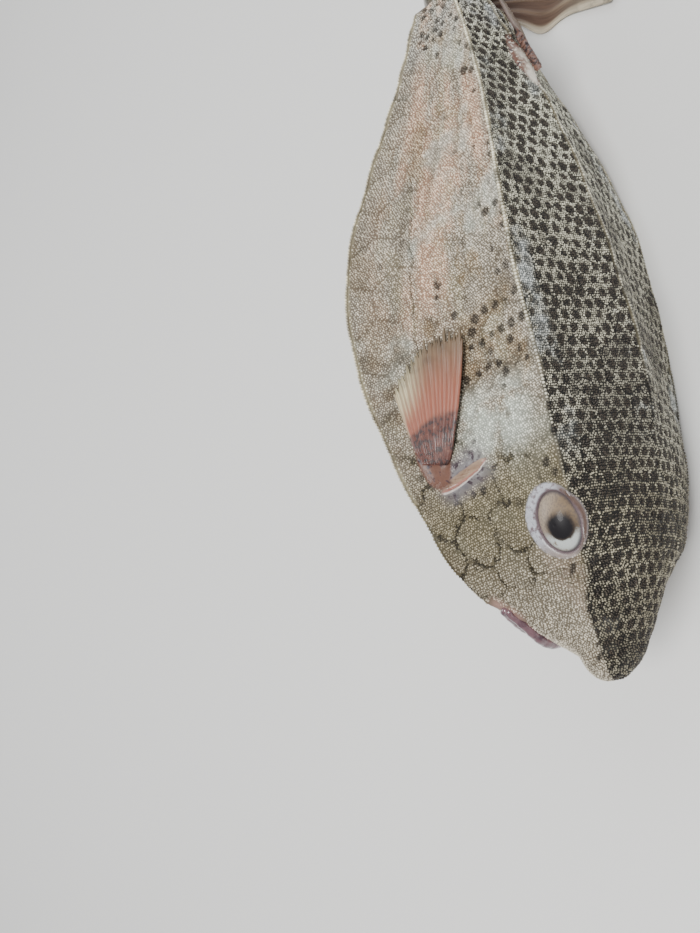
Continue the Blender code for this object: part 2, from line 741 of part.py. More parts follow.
def make_tail_fin(frame):
    """Broad fan on the floor, its upper edge towards the head."""
    centre, along, _, _ = frame
    flat = np.array((along[0], along[1], 0.0))
    flat /= np.linalg.norm(flat)
    side = np.array((flat[1], -flat[0], 0.0))
    if side[0] > 0:
        side = -side
    root = centre + along * TOUCH_GAP
    level = 0.5 * (FIN_THICKNESS + RAY_HEIGHT)
    lobe_size, lobe_place, lobe_width = TAIL_FIN_LOBE

    def spot(x, y):
        spread = 1 - 2 * x
        upper = max(0.0, spread) ** 2
        length = TAIL_FIN_LENGTH * (1 - TAIL_FIN_ROUND * abs(spread) ** 3)
        width = TAIL_FIN_ROOT + TAIL_FIN_SPREAD * y ** TAIL_FIN_FLARE
        lobe = lobe_size * upper * math.exp(-((y - lobe_place) / lobe_width) ** 2)
        place = root + flat * length * y + side * (width * spread + lobe)
        sink = smooth_step(0.0, 0.42, y)
        wave = TAIL_FIN_WAVE * smooth_step(0.45, 1.0, y) * upper
        place[2] = root[2] + (level - root[2]) * sink + wave
        return place

    def thickness(y):
        return FIN_THICKNESS * (1.6 - 0.7 * min(1.0, 3 * y))

    points, faces = fin_solid(spot, TAIL_FIN_RAYS, 12, thickness)
    new_object("tail_fin", points, faces)


def make_body_fin(name, spot, rays, rows):
    """Fin on the shell's midline, with a fleshy root along its base."""
    points, faces = fin_solid(spot, rays, rows, lambda y: FIN_THICKNESS * (1.2 - 0.4 * y))
    fin = new_object(name, to_floor(points), faces)
    path = [spot(-0.1 + 1.2 * k / 8, 0.0) for k in range(9)]
    root = bent_rod("root", path, [0.9, 1.3, 1.6, 1.7, 1.7, 1.7, 1.6, 1.3, 0.9], sides=10)
    combine(fin, [root], "UNION", "MANIFOLD")


def make_dorsal_fin():
    """Fan on the rear of the back, folded back and lying flat on its left half."""
    def spot(x, y):
        foot = section_point(DORSAL_START + DORSAL_BASE * x, 0.0) + np.array((0.0, 0.0, ROOT_STAND))
        reach = DORSAL_REACH * (1 - (1 - LAST_RAY) * x) * y
        rise = math.radians(DORSAL_RISE[0] + (DORSAL_RISE[1] - DORSAL_RISE[0]) * x)
        sweep = math.radians(DORSAL_SWEEP[0] + (DORSAL_SWEEP[1] - DORSAL_SWEEP[0]) * x)
        return foot + reach * np.array((math.cos(rise) * math.cos(sweep), -math.cos(rise) * math.sin(sweep),
                                        math.sin(rise)))

    make_body_fin("dorsal_fin", spot, MIDLINE_FIN_RAYS, 7)


def make_anal_fin():
    """Smaller fan under the rear end of the shell, sagging towards the floor."""
    def spot(x, y):
        foot = section_point(ANAL_START + ANAL_BASE * x, HALF_COLUMNS) - np.array((0.0, 0.0, ROOT_STAND))
        reach = ANAL_REACH * (1 - (1 - LAST_RAY) * x) * y
        drop = math.radians(ANAL_DROP[0] + (ANAL_DROP[1] - ANAL_DROP[0]) * x)
        lean = ANAL_LEAN[0] + (ANAL_LEAN[1] - ANAL_LEAN[0]) * y
        return foot + reach * np.array((math.cos(drop), -math.sin(drop) * lean,
                                        -math.sin(drop) * math.sqrt(1 - lean * lean)))

    make_body_fin("anal_fin", spot, MIDLINE_FIN_RAYS, 6)


def settle_on_floor():
    """Presses what reaches below the floor flat, and centres the model on its own box."""
    things = [thing for thing in bpy.data.objects if thing.type == "MESH"]
    corners = []
    for thing in things:
        for vertex in thing.data.vertices:
            vertex.co.z = max(vertex.co.z, 0.0)
            corners.append(vertex.co.copy())
    middle_x = 0.5 * (min(c.x for c in corners) + max(c.x for c in corners))
    middle_y = 0.5 * (min(c.y for c in corners) + max(c.y for c in corners))
    for thing in things:
        for vertex in thing.data.vertices:
            vertex.co.x -= middle_x
            vertex.co.y -= middle_y
        thing.data.shade_smooth()
        thing.data.set_sharp_from_angle(angle=math.radians(35.0))
    print("box middle, mm:", round(middle_x / MM, 3), round(middle_y / MM, 3))
    print("tilt, degrees:", round(math.degrees(TILT), 3), "rest level, mm:", round(REST_LEVEL, 3))


COLOUR_OF_NODE = {
    "head": "head", "trunk": "trunk", "tail_stalk_front": "stalk", "tail_stalk_rear": "stalk",
    "tail_fin": "fin", "dorsal_fin": "fin", "anal_fin": "fin", "pectoral_fin_right": "fin",
    "pectoral_fin_left": "fin", "eye_right": "eye", "eye_left": "eye",
}

clear_scene()
make_head()
make_trunk()
make_tail_fin(make_stalk())
make_pectoral(1.0, "right")
make_pectoral(-1.0, "left")
make_dorsal_fin()
make_anal_fin()
for node, colour in COLOUR_OF_NODE.items():
    finished = bpy.data.objects[node].data
    finished.materials.clear()
    finished.materials.append(material(node + "_skin", colour))
settle_on_floor()
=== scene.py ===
import math
import time
import bmesh
import bpy
import numpy as np
from mathutils import Matrix, Vector


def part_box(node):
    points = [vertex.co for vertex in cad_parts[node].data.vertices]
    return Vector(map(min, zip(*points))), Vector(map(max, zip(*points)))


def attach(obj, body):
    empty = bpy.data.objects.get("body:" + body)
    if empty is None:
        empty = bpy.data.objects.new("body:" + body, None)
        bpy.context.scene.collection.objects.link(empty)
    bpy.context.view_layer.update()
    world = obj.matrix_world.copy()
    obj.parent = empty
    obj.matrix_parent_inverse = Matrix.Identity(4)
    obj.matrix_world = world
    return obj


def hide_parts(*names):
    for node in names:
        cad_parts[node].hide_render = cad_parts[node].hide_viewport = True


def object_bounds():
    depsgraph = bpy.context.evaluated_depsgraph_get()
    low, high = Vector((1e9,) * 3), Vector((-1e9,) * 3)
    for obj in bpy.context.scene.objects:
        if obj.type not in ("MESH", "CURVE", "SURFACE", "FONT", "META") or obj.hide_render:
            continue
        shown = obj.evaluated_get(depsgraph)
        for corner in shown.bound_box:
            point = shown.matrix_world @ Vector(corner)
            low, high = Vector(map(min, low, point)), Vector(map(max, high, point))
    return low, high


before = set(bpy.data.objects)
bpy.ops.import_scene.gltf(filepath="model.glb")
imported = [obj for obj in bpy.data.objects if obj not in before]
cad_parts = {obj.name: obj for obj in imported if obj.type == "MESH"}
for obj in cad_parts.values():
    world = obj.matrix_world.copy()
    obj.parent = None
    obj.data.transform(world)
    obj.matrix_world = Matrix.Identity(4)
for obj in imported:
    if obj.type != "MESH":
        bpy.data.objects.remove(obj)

startTime = time.time()
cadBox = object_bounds()
mm = 0.001
bodyName = "root"
leastHeight = 0.0002      # metres: what would sink into the floor is pressed flat on it

# The fish is drawn in its own millimetres: t from snout to tail, r to its right, d to its back.
shell = {
    "length": 225.0,
    "noseTip": (-1.5, -15.5),       # t and height of the very tip
    "noseDome": 13.0,               # length of the rounded nose
    "backDip": 0.9, "flankDip": 4.6, "cheekBulge": 1.2, "browBulge": 1.8, "bellyBulge": 5.0,
    "largestKeel": 44.5,
    "backColumns": 5.0, "flankColumns": 7.0, "bellyColumns": 6.0,
    "pitchOfGirth": 0.0335, "leastPitch": 4.4, "headEnd": 76.0,
    "floorFlat": 0.5,
}
shell["half"] = shell["backColumns"] + shell["flankColumns"] + shell["bellyColumns"]
ridgeColumn = shell["backColumns"]                          # back ridge
keelColumn = shell["backColumns"] + shell["flankColumns"]   # belly keel

# t, half width and height of the back ridge, height of the midline, half width and height of the keel
stations = np.array((
    (7.0, 10.0, -8.0, -2.0, 7.8, -22.3),
    (18.0, 13.5, -3.0, 4.5, 12.5, -33.0),
    (32.0, 25.0, 3.5, 11.5, 23.5, -38.5),
    (54.0, 31.8, 8.0, 17.5, 34.0, -40.5),
    (76.0, 33.5, 11.0, 22.0, 40.5, -42.0),
    (104.0, 36.5, 14.0, 23.5, 44.5, -43.0),
    (135.0, 34.5, 16.0, 23.0, 42.0, -40.0),
    (169.0, 26.5, 14.5, 20.0, 31.0, -30.0),
    (198.0, 18.5, 10.5, 15.0, 20.5, -19.0),
    (225.0, 13.0, 6.5, 9.5, 12.5, -9.5),
))


def smoothStep(low, high, value):
    x = np.clip((value - low) / (high - low), 0.0, 1.0)
    return x * x * (3.0 - 2.0 * x)


def bump(value, middle, width):
    return np.exp(-((value - middle) / width) ** 2)


def unit(v):
    return v / np.linalg.norm(v)


def smoothWay(start, end, leaves, arrives, x):      # from start to end, with the slopes at both
    return (start * (1 + 2 * x) * (1 - x) ** 2 + leaves * x * (1 - x) ** 2
            + end * x * x * (3 - 2 * x) + arrives * x * x * (x - 1))


def stationCurves(t):
    ts, values = stations[:, 0], stations[:, 1:]
    t = np.clip(t, ts[0], ts[-1])
    i = np.clip(np.searchsorted(ts, t, side="right") - 1, 0, len(ts) - 2)
    steps = np.diff(ts)
    slopes = np.diff(values, axis=0) / steps[:, None]
    tangents = np.empty_like(values)
    tangents[0], tangents[-1] = slopes[0], slopes[-1]
    a, b = steps[:-1, None], steps[1:, None]
    tangents[1:-1] = (slopes[:-1] * b + slopes[1:] * a) / (a + b)
    h = steps[i][:, None]
    x = ((t - ts[i]) / steps[i])[:, None]
    return smoothWay(values[i], values[i + 1], tangents[i] * h, tangents[i + 1] * h, x)


def shellPoint(t, column):
    t, column = np.broadcast_arrays(np.asarray(t, float), np.asarray(column, float))
    shape = t.shape
    t, column = t.ravel(), column.ravel()
    half = shell["half"]
    column = (column + half) % (2 * half) - half
    q = np.abs(column)
    backW, backD, midD, keelW, keelD = stationCurves(t).T
    size = keelW / shell["largestKeel"]
    bellyD = keelD - shell["bellyBulge"] * size
    onBack, onFlank = q <= ridgeColumn, (q > ridgeColumn) & (q <= keelColumn)
    x = np.where(onBack, q / ridgeColumn,
                 np.where(onFlank, (q - ridgeColumn) / shell["flankColumns"],
                          (q - keelColumn) / shell["bellyColumns"]))
    startR = np.where(onBack, 0.0, np.where(onFlank, backW, keelW))
    startD = np.where(onBack, midD, np.where(onFlank, backD, keelD))
    endR = np.where(onBack, backW, np.where(onFlank, keelW, 0.0))
    endD = np.where(onBack, backD, np.where(onFlank, keelD, bellyD))
    onBackSwell = (shell["browBulge"] * (1 - smoothStep(48, 84, t))
                   - shell["backDip"] * size * smoothStep(60, 96, t))
    hollow = shell["flankDip"] * smoothStep(52, 92, t) * (1 - 0.75 * smoothStep(165, 222, t))
    onFlankSwell = shell["cheekBulge"] * (1 - smoothStep(48, 76, t)) - hollow
    swell = np.where(onBack, onBackSwell, np.where(onFlank, onFlankSwell, shell["bellyBulge"] * size * 0.55))
    alongR, alongD = endR - startR, endD - startD
    length = np.maximum(np.hypot(alongR, alongD), 1e-6)
    arch = swell * np.sin(np.pi * x).clip(0.0) ** np.where(swell > 0, 1.0, 0.7)
    r = startR + alongR * x - alongD / length * arch
    d = startD + alongD * x + alongR / length * arch
    roundPart = 0.8 * (1.0 - smoothStep(8.0, 30.0, t))      # the snout rounds off to an oval
    middle = 0.5 * (midD + bellyD)
    angle = np.pi * q / half
    r += (0.98 * np.maximum(backW, keelW) * np.sin(angle) - r) * roundPart
    d += (middle + 0.5 * (midD - bellyD) * np.cos(angle) - d) * roundPart
    tipT, tipD = shell["noseTip"]
    left = (1.0 - (t - tipT) / shell["noseDome"]).clip(0.0, 1.0)
    dome = np.sqrt(np.maximum(0.0, 1.0 - left ** 2))
    r *= dome
    d = middle + (d - middle) * dome + (tipD - middle) * left ** 2
    return np.stack((t, np.sign(column) * np.maximum(r, 0.0), d), -1).reshape(*shape, 3)


def shellNormal(t, column):
    stepT, stepQ = 1.2, 0.15
    after = np.minimum(np.asarray(t, float) + stepT, shell["length"])
    along = shellPoint(after, column) - shellPoint(np.asarray(t, float) - stepT, column)
    across = shellPoint(t, np.asarray(column) + stepQ) - shellPoint(t, np.asarray(column) - stepQ)
    normal = np.cross(along, across)
    point = shellPoint(t, column)
    outward = np.stack((np.zeros_like(point[..., 0]), point[..., 1], point[..., 2] + 10.0), -1)
    size = np.linalg.norm(normal, axis=-1, keepdims=True)
    flat = size[..., 0] < 1e-9
    normal = np.where(flat[..., None], outward, normal)
    normal /= np.maximum(np.linalg.norm(normal, axis=-1, keepdims=True), 1e-9)
    turn = np.where((normal * outward).sum(-1, keepdims=True) < 0, -1.0, 1.0)
    return normal * turn


def flankColumn(place, side=1.0):
    return side * (ridgeColumn + shell["flankColumns"] * np.asarray(place, float))


def flankAxes(t, place, side):
    column = flankColumn(place, side)
    point, normal = shellPoint(t, column), shellNormal(t, column)
    back = np.array((1.0, 0.0, 0.0))
    back = unit(back - normal * (back @ normal))
    return point, (back, np.cross(normal, back), normal)


def restFrame():
    ts = np.linspace(80.0, 130.0, 51)
    back, keel = shellPoint(ts, ridgeColumn), shellPoint(ts, keelColumn)
    back, keel = back[np.argmax(back[:, 1])], keel[np.argmax(keel[:, 1])]
    tilt = math.atan2(keel[1] - back[1], back[2] - keel[2])
    level = max(p[1] * math.cos(tilt) + p[2] * math.sin(tilt) for p in (back, keel))
    return tilt, level - shell["floorFlat"]


tilt, restLevel = restFrame()


def toFloor(points):
    p = np.asarray(points, float)
    c, s = math.cos(tilt), math.sin(tilt)
    return np.stack((p[..., 0], -(p[..., 2] * c + p[..., 1] * s),
                     p[..., 1] * c - p[..., 2] * s + restLevel), -1)


eye = {
    "t": 38.6, "flank": 0.125,
    "half": (9.1, 6.4, 5.0),        # along the body, across it and outwards
    "sunk": 2.7, "settled": 0.25,
    "cornea": (0.45, 0.62),         # height of its bulge, and its width in radians
    "rings": 36, "segments": 64, "lowest": 112.0,       # degrees from its top to its last ring
    "turn": -12.0,                  # degrees that its long axis leans, tail end to the back
    "ring": (0.4, 1.0, 1.5, 1.9),   # grey skin round it: shifted to tail and belly, wider along and across
}


def frameShift():
    snout = toFloor((shell["noseTip"][0], 0.0, 0.0))
    point, axes = flankAxes(eye["t"], eye["flank"], 1.0)
    middle = toFloor(point - axes[2] * eye["sunk"])
    low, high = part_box("eye_right")
    return np.array((cadBox[0].x / mm - snout[0], 0.5 * (low.y + high.y) / mm - middle[1], 0.0))


shift = frameShift()                # from the fish's own origin to the frame's
print("shift, mm:", shift.round(3), "tilt:", round(math.degrees(tilt), 3))


def floorToWorld(points):
    return (np.asarray(points, float) + shift) * mm


def toWorld(points):
    return floorToWorld(toFloor(points))


def addObject(name, data):
    made = bpy.data.objects.new(name, data)
    bpy.context.scene.collection.objects.link(made)
    return made


def meshObject(name, points, faces, smooth=True):
    mesh = bpy.data.meshes.new(name)
    mesh.from_pydata([tuple(p) for p in np.asarray(points, float).reshape(-1, 3)], [], faces)
    mesh.update()
    if smooth:
        mesh.shade_smooth()
    return addObject(name, mesh)


def turnOutwards(thing):
    work = bmesh.new()
    work.from_mesh(thing.data)
    bmesh.ops.recalc_face_normals(work, faces=work.faces)
    work.to_mesh(thing.data)
    work.free()


def setAttribute(thing, name, values):      # one number or one vector for each point
    values = np.ascontiguousarray(values).ravel()
    kind, field = ("FLOAT", "value") if len(values) == len(thing.data.vertices) else ("FLOAT_VECTOR", "vector")
    thing.data.attributes.new(name, kind, "POINT").data.foreach_set(field, values)


# camera: the photo's own view, in the fish's millimetres
camera = {
    "place": (-20.40, 245.93, 145.16),
    "right": (-0.2043, -0.7372, 0.6441), "up": (0.9252, 0.0695, 0.3730), "back": (-0.3197, 0.6721, 0.6679),
    "focalPixels": 1000.0, "picture": (700, 933), "sensor": 24.0,
}


def addCamera():
    data = bpy.data.cameras.new("photoCamera")
    data.sensor_fit = "VERTICAL"
    data.sensor_height = camera["sensor"]
    data.lens = camera["focalPixels"] / camera["picture"][1] * camera["sensor"]
    data.clip_start = 0.005
    made = addObject("photoCamera", data)
    origin = toWorld((0.0, 0.0, 0.0))
    axes = []
    for word in ("right", "up", "back"):
        axis = toWorld(np.array(camera[word]) * 100.0) - origin
        axes.append(Vector(axis).normalized())
    turn = Matrix(axes).transposed().to_4x4()
    made.matrix_world = Matrix.Translation(Vector(toWorld(camera["place"]))) @ turn
    bpy.context.scene.camera = made


studio = {
    "floorSize": 5.0, "floorColour": (0.80, 0.80, 0.79), "sky": 0.42,
    "lights": (     # name, place, size, power, colour
        ("keyLight", (-0.45, -0.50, 1.15), 0.55, 20.0, (1.0, 0.99, 0.97)),
        ("fillLight", (0.9, -0.5, 0.8), 1.1, 6.0, (0.93, 0.97, 1.0)),
        ("backLight", (0.2, 1.0, 0.9), 0.9, 7.0, (1.0, 1.0, 1.0)),
    ),
}


def addStudio():
    half = studio["floorSize"] / 2
    points = [(x, y, -0.0001) for x, y in ((-half, -half), (half, -half), (half, half), (-half, half))]
    floor = meshObject("studioFloor", points, [(0, 1, 2, 3)], smooth=False)
    paint = bpy.data.materials.new("floorPaint")
    paint.use_nodes = True
    shader = paint.node_tree.nodes["Principled BSDF"]
    shader.inputs["Base Color"].default_value = (*studio["floorColour"], 1.0)
    shader.inputs["Roughness"].default_value = 0.7
    floor.data.materials.append(paint)
    for name, place, size, power, colour in studio["lights"]:
        data = bpy.data.lights.new(name, "AREA")
        data.shape, data.size, data.energy, data.color = "DISK", size, power, colour
        light = addObject(name, data)
        light.location = place
        light.rotation_euler = (-Vector(place)).to_track_quat("-Z", "Y").to_euler()
    world = bpy.data.worlds.new("studioSky")
    world.use_nodes = True
    world.node_tree.nodes["Background"].inputs["Color"].default_value = (1.0, 1.0, 1.0, 1.0)
    world.node_tree.nodes["Background"].inputs["Strength"].default_value = studio["sky"]
    bpy.context.scene.world = world


addCamera()
addStudio()
print("camera and studio", round(time.time() - startTime, 1), "s")


def girths(ts):      # the shell's outline at each t, one point to a column, and the way round it
    ring = shellPoint(ts[:, None], np.arange(2 * int(shell["half"]))[None, :])
    return ring, np.linalg.norm(ring - np.roll(ring, 1, axis=1), axis=2).sum(1)


# plate net: the same rows and columns of six-sided plates as the solids have
def rowTable():
    ts = np.linspace(shell["noseTip"][0], shell["length"], 451)
    _, girth = girths(ts)
    pitch = np.maximum(shell["leastPitch"], shell["pitchOfGirth"] * girth)
    density = 1.0 / pitch
    rows = np.concatenate(([0.0], np.cumsum(0.5 * (density[1:] + density[:-1]) * np.diff(ts))))
    neck = np.interp(shell["headEnd"], ts, rows)
    return ts, rows + (round(neck) + 0.25 - neck), pitch, girth


rowTs, rowNumbers, rowPitches, rowGirths = rowTable()
netAcross = math.sqrt(3) / 2        # width of a column in row pitches
plateSize = math.sqrt(3)            # plate width in row pitches


def hexDistance(x, y, size):
    tall = size * math.sqrt(3)
    best = None
    for shiftX, shiftY in ((0.0, 0.0), (size / 2, tall / 2)):
        a = (x - shiftX + size / 2) % size - size / 2
        b = (y - shiftY + tall / 2) % tall - tall / 2
        near = a * a + b * b
        if best is None:
            best = (near, a, b)
        else:
            closer = near < best[0]
            best = tuple(np.where(closer, new, old) for new, old in zip((near, a, b), best))
    _, a, b = best
    return size / 2 - np.maximum(np.abs(a), 0.5 * np.abs(a) + math.sqrt(0.75) * np.abs(b))


skin = {
    "columns": 288,
    "noseRows": 14, "noseEnd": 4.5,
    "headStep": 0.53, "headRowsEnd": 70.0, "neckEnd": 90.0, "neckStep": 0.8, "trunkStep": 1.2,
    "coatDepth": 0.14,              # the skin lies this much inside the solids
    "plateHeight": 0.34, "plateCrown": 0.16,
    "ridgeHeight": 0.35, "ridgeWidth": 0.75,
    "mapSize": 300.0, "mapMargin": 5.0,         # millimetres across the whole map, and before the nose
    "midCrest": 0.7,                # the ridge along the middle of the back, as a share of the others
    "socketRim": 0.45, "socketDepth": 4.2, "ringFold": 0.16,
    "mouthDepth": 1.3, "nostrilRim": 0.35, "nostrilDepth": 1.5, "gillFold": 0.22,
    "foldDepth": 0.95,              # soft folds along the flank: column, sway, its length and turn, width
    "folds": ((7.1, 0.30, 17.0, 0.4, 0.28), (8.4, 0.35, 21.0, 2.0, 0.24), (9.9, 0.25, 15.0, 1.0, 0.30)),
}
spotNet = {     # dark spots of the back: millimetres between them at each t, and how big they are
    "ts": (0.0, 50.0, 110.0, 185.0, 215.0), "pitches": (3.25, 3.5, 4.05, 4.35, 3.3),
    "squeeze": 0.90, "radius": 0.36,
}
gill = {"low": (58.0, 0.80), "high": (61.5, 0.43), "halfLength": 8.2, "halfWidth": 1.5, "depth": 2.3,
        "rimAhead": 2.2, "rimHeight": 0.8, "rimWidth": 0.9}
mouth = {"t": 17.0, "back": 7.0, "columns": 6.4, "radius": 2.3, "spread": 2.3, "stand": 1.5, "lower": 0.92,
         "points": 61, "sides": 22}
nostrils = ((27.5, 0.20), (24.5, 0.24))
pads = {    # fleshy fin bases on the shell: t, column, half length, half width, height
    "pectoral": (69.0, flankColumn(0.765), 10.5, 5.6, 1.1),
    "dorsal": (190.0, 0.0, 12.0, 4.4, 1.3),
    "anal": (209.5, 18.0, 9.0, 3.4, 1.0),
}
stalk = {
    "start": -1.5, "end": (259.5, 11.0, 4.3), "leaves": (66.0, 3.0, -2.0), "arrives": (-22.6, -62.0, -8.0),
    "tall": 8.6, "tallRoot": 2.2, "waist": 1.6, "flare": 1.2,
    "thin": 3.6, "thickRoot": 7.2, "thickMiddle": 0.6,
    "mapGap": 2.0, "mapLength": 60.0,           # where it lies on the map, after the shell
    "rows": 40, "rimRows": ((0.06, 225.25), (0.16, 225.15), (0.35, 224.6), (0.62, 223.8), (0.86, 223.2)),
}


def stalkCentre(x):
    x = np.asarray(x, float)[..., None]
    start = toFloor((shell["length"] + 0.3, 0.0, stalk["start"]))
    return smoothWay(start, *(np.array(stalk[word]) for word in ("end", "leaves", "arrives")), x)


def stalkFrame(x):
    centre = stalkCentre(x)
    along = unit(stalkCentre(min(x + 1 / 24, 1.0)) - stalkCentre(max(x - 1 / 24, 0.0)))
    blend = smoothStep(0.0, 0.08, x)
    along = unit(along * blend + np.array((1.0, 0.0, 0.0)) * (1 - blend))
    height = unit(np.array((0.0, 0.0, 1.0)) - along * along[2])
    return centre, along, np.cross(along, height), height


def stalkRing(x, angle):
    centre, _, across, height = stalkFrame(x)
    tall = (stalk["tall"] + stalk["tallRoot"] * (1 - x) ** 2 - stalk["waist"] * math.sin(math.pi * x)
            + stalk["flare"] * x)
    thick = stalk["thin"] + stalk["thickRoot"] * (1 - x) ** 1.1 + stalk["thickMiddle"] * math.sin(math.pi * x)
    tuck = 0.86 + 0.14 * smoothStep(0.0, 0.14, x)       # it comes out of the shell a little thinner
    return (centre + tuck * (across * tall * np.cos(angle)[:, None]
                             + height * thick * np.sin(angle)[:, None]))


def skinRows():
    tip = shell["noseTip"][0]
    nose = tip + (skin["noseEnd"] - tip) * (np.arange(1, skin["noseRows"] + 1) / skin["noseRows"]) ** 2
    head = np.arange(skin["noseEnd"] + skin["headStep"], skin["headRowsEnd"], skin["headStep"])
    neck = np.arange(skin["headRowsEnd"], skin["neckEnd"], skin["neckStep"])
    count = round((shell["length"] - skin["neckEnd"]) / skin["trunkStep"])
    trunk = np.linspace(skin["neckEnd"], shell["length"], count + 1)
    return np.concatenate((nose, head, neck, trunk))


def eyeAxes(axes, side):
    turn = math.radians(eye["turn"]) * side
    return (axes[0] * math.cos(turn) + axes[1] * math.sin(turn),
            axes[1] * math.cos(turn) - axes[0] * math.sin(turn))


def eyeReach(points, side, ring=False):
    point, axes = flankAxes(eye["t"], eye["flank"], side)
    long, wide = eyeAxes(axes, side)
    away = points - point
    if not ring:
        return np.hypot(away @ long / eye["half"][0], away @ wide / eye["half"][1])
    tailward, bellyward, longer, wider = eye["ring"]
    return np.hypot((away @ long - tailward) / (eye["half"][0] + longer),
                    (away @ wide - bellyward * side) / (eye["half"][1] + wider))


def gillPlace(points, side):
    ends = [(gill[word][0], flankColumn(gill[word][1], side)) for word in ("low", "high")]
    low, high = (shellPoint(*end) for end in ends)
    normal = unit(shellNormal(*ends[0]) + shellNormal(*ends[1]))
    along = unit(high - low)
    front = np.cross(normal, along)
    front *= -1.0 if front[0] > 0 else 1.0
    away = points - 0.5 * (low + high)
    return away @ along / gill["halfLength"], away @ front, away @ normal


def mouthPlace(t, column):
    across = (shell["half"] - np.abs(column)) / mouth["columns"]
    return across, mouth["t"] + mouth["back"] * across ** 2 - t


def padReach(points, pad, side):
    t, column, halfLong, halfWide, _ = pad
    point, normal = shellPoint(t, column * side), shellNormal(t, column * side)
    back = unit(shellPoint(t + 2.0, column * side) - shellPoint(t - 2.0, column * side))
    across = np.cross(normal, back)
    away = points - point
    beyond = np.maximum(np.abs(away @ normal) - 6.0, 0.0) / 3.0         # the far side of the body stays plain
    return np.hypot(away @ back / halfLong, away @ across / halfWide) + beyond


def skinFields(t, column, points, arc):
    q = np.abs(column)
    flat = points.reshape(-1, 3)
    pick = column.ravel() >= 0

    def bothSides(measure):
        return np.where(pick, measure(flat, 1.0), measure(flat, -1.0)).reshape(q.shape)

    fields = {"eye": bothSides(eyeReach), "ring": bothSides(lambda p, s: eyeReach(p, s, True))}
    right, left = gillPlace(flat, 1.0), gillPlace(flat, -1.0)
    fields["gillX"], fields["gillY"], gillZ = (np.where(pick, a, b).reshape(q.shape)
                                              for a, b in zip(right, left))
    fields["gillNear"] = 1.0 - smoothStep(6.0, 12.0, np.abs(gillZ))
    fields["mouthX"], fields["mouthY"] = mouthPlace(t, column)
    for word, pad in pads.items():
        fields[word] = bothSides(lambda p, s, pad=pad: padReach(p, pad, s))
    pitch = np.interp(t, rowTs, rowPitches)
    row = np.interp(t, rowTs, rowNumbers)
    fields["edge"] = hexDistance(q * netAcross, row, plateSize) * pitch
    fields["row"] = row
    folds = sum(bump(q, place + sway * np.sin(t / length + turn), width)
                * np.clip(0.7 + 0.5 * np.sin(t / 13 + place), 0, 1)
                for place, sway, length, turn, width in skin["folds"])
    fields["folds"] = folds * smoothStep(86.0, 112.0, t) * (1 - smoothStep(178.0, 208.0, t))
    pitch = np.interp(t, spotNet["ts"], spotNet["pitches"])
    ts = t[:, 0]
    steps = np.diff(ts) / (0.5 * spotNet["squeeze"] * (pitch[1:, 0] + pitch[:-1, 0]))
    fields["spotAlong"] = np.concatenate(([0.0], np.cumsum(steps * spotNet["squeeze"] ** 2)))[:, None] + 0 * t
    fields["spotAcross"] = arc / pitch
    for word, line in (("ridge", ridgeColumn), ("keel", keelColumn)):
        at = round((line + shell["half"]) / (2 * shell["half"]) * skin["columns"])
        fields[word] = np.abs(arc) - np.abs(arc[:, [at]])
    return fields


def skinRelief(t, column, fields):
    calm = smoothStep(0.92, 1.12, fields["ring"])                   # no plates on the ring of the eye
    for word in pads:
        calm = calm * smoothStep(0.75, 1.1, fields[word])
    plates = smoothStep(0.15, 1.5, fields["edge"]) * skin["plateHeight"]
    plates += smoothStep(1.0, 6.0, fields["edge"]) * skin["plateCrown"]
    lift = -skin["coatDepth"] + plates * smoothStep(9.0, 17.0, t) * calm
    crest = skin["ridgeHeight"] * smoothStep(26.0, 52.0, t)
    lift += crest * np.exp(-(fields["ridge"] / skin["ridgeWidth"]) ** 2) * calm
    lift += crest * np.exp(-(fields["keel"] / skin["ridgeWidth"]) ** 2)
    lift += skin["midCrest"] * crest * bump(np.abs(column), 0.0, 0.12) * smoothStep(48, 70, t) * calm
    lift += skin["socketRim"] * bump(fields["eye"], 1.05, 0.11)
    ringFold = np.sin(34.0 * fields["ring"] + 2.3 * np.sin(0.8 * t + 3.1 * column) + 1.1 * np.sin(1.9 * t))
    ringFold = ringFold * bump(fields["ring"], 0.92, 0.10) * smoothStep(1.0, 1.08, fields["eye"])
    lift += skin["ringFold"] * ringFold
    lift -= skin["foldDepth"] * fields["folds"]
    lift -= skin["socketDepth"] * (1 - smoothStep(0.60, 1.03, fields["eye"]))
    reach = np.hypot(fields["gillX"], fields["gillY"] / gill["halfWidth"])
    slit = (1 - smoothStep(0.55, 1.05, reach)) * fields["gillNear"]
    lift -= gill["depth"] * slit
    rim = bump(fields["gillY"], gill["rimAhead"] * np.sqrt(np.clip(1 - 0.8 * fields["gillX"] ** 2, 0.05, 1)),
               gill["rimWidth"])
    lift += gill["rimHeight"] * rim * (1 - smoothStep(0.85, 1.15, np.abs(fields["gillX"]))) * fields["gillNear"]
    around = (bump(fields["gillY"], 0.0, 5.0) * bump(fields["gillX"], 0.0, 1.1) * fields["gillNear"]
              * smoothStep(1.1, 1.5, reach))
    lift += skin["gillFold"] * around * np.sin(2.6 * fields["gillY"] + 1.5 * np.sin(5.0 * fields["gillX"]))
    inMouth = 1 - smoothStep(0.88, 1.08, fields["mouthX"])
    lift -= skin["mouthDepth"] * inMouth * bump(fields["mouthY"], 0.0, 2.4)
    for word, pad in pads.items():
        lift += pad[4] * (1 - smoothStep(0.35, 1.05, fields[word]))
    for spot in nostrils:
        for side in (1.0, -1.0):
            point = shellPoint(spot[0], flankColumn(spot[1], side))
            away = np.linalg.norm(fields["points"] - point, axis=-1)
            lift += skin["nostrilRim"] * bump(away, 1.5, 0.5) - skin["nostrilDepth"] * bump(away, 0.0, 0.85)
    return lift


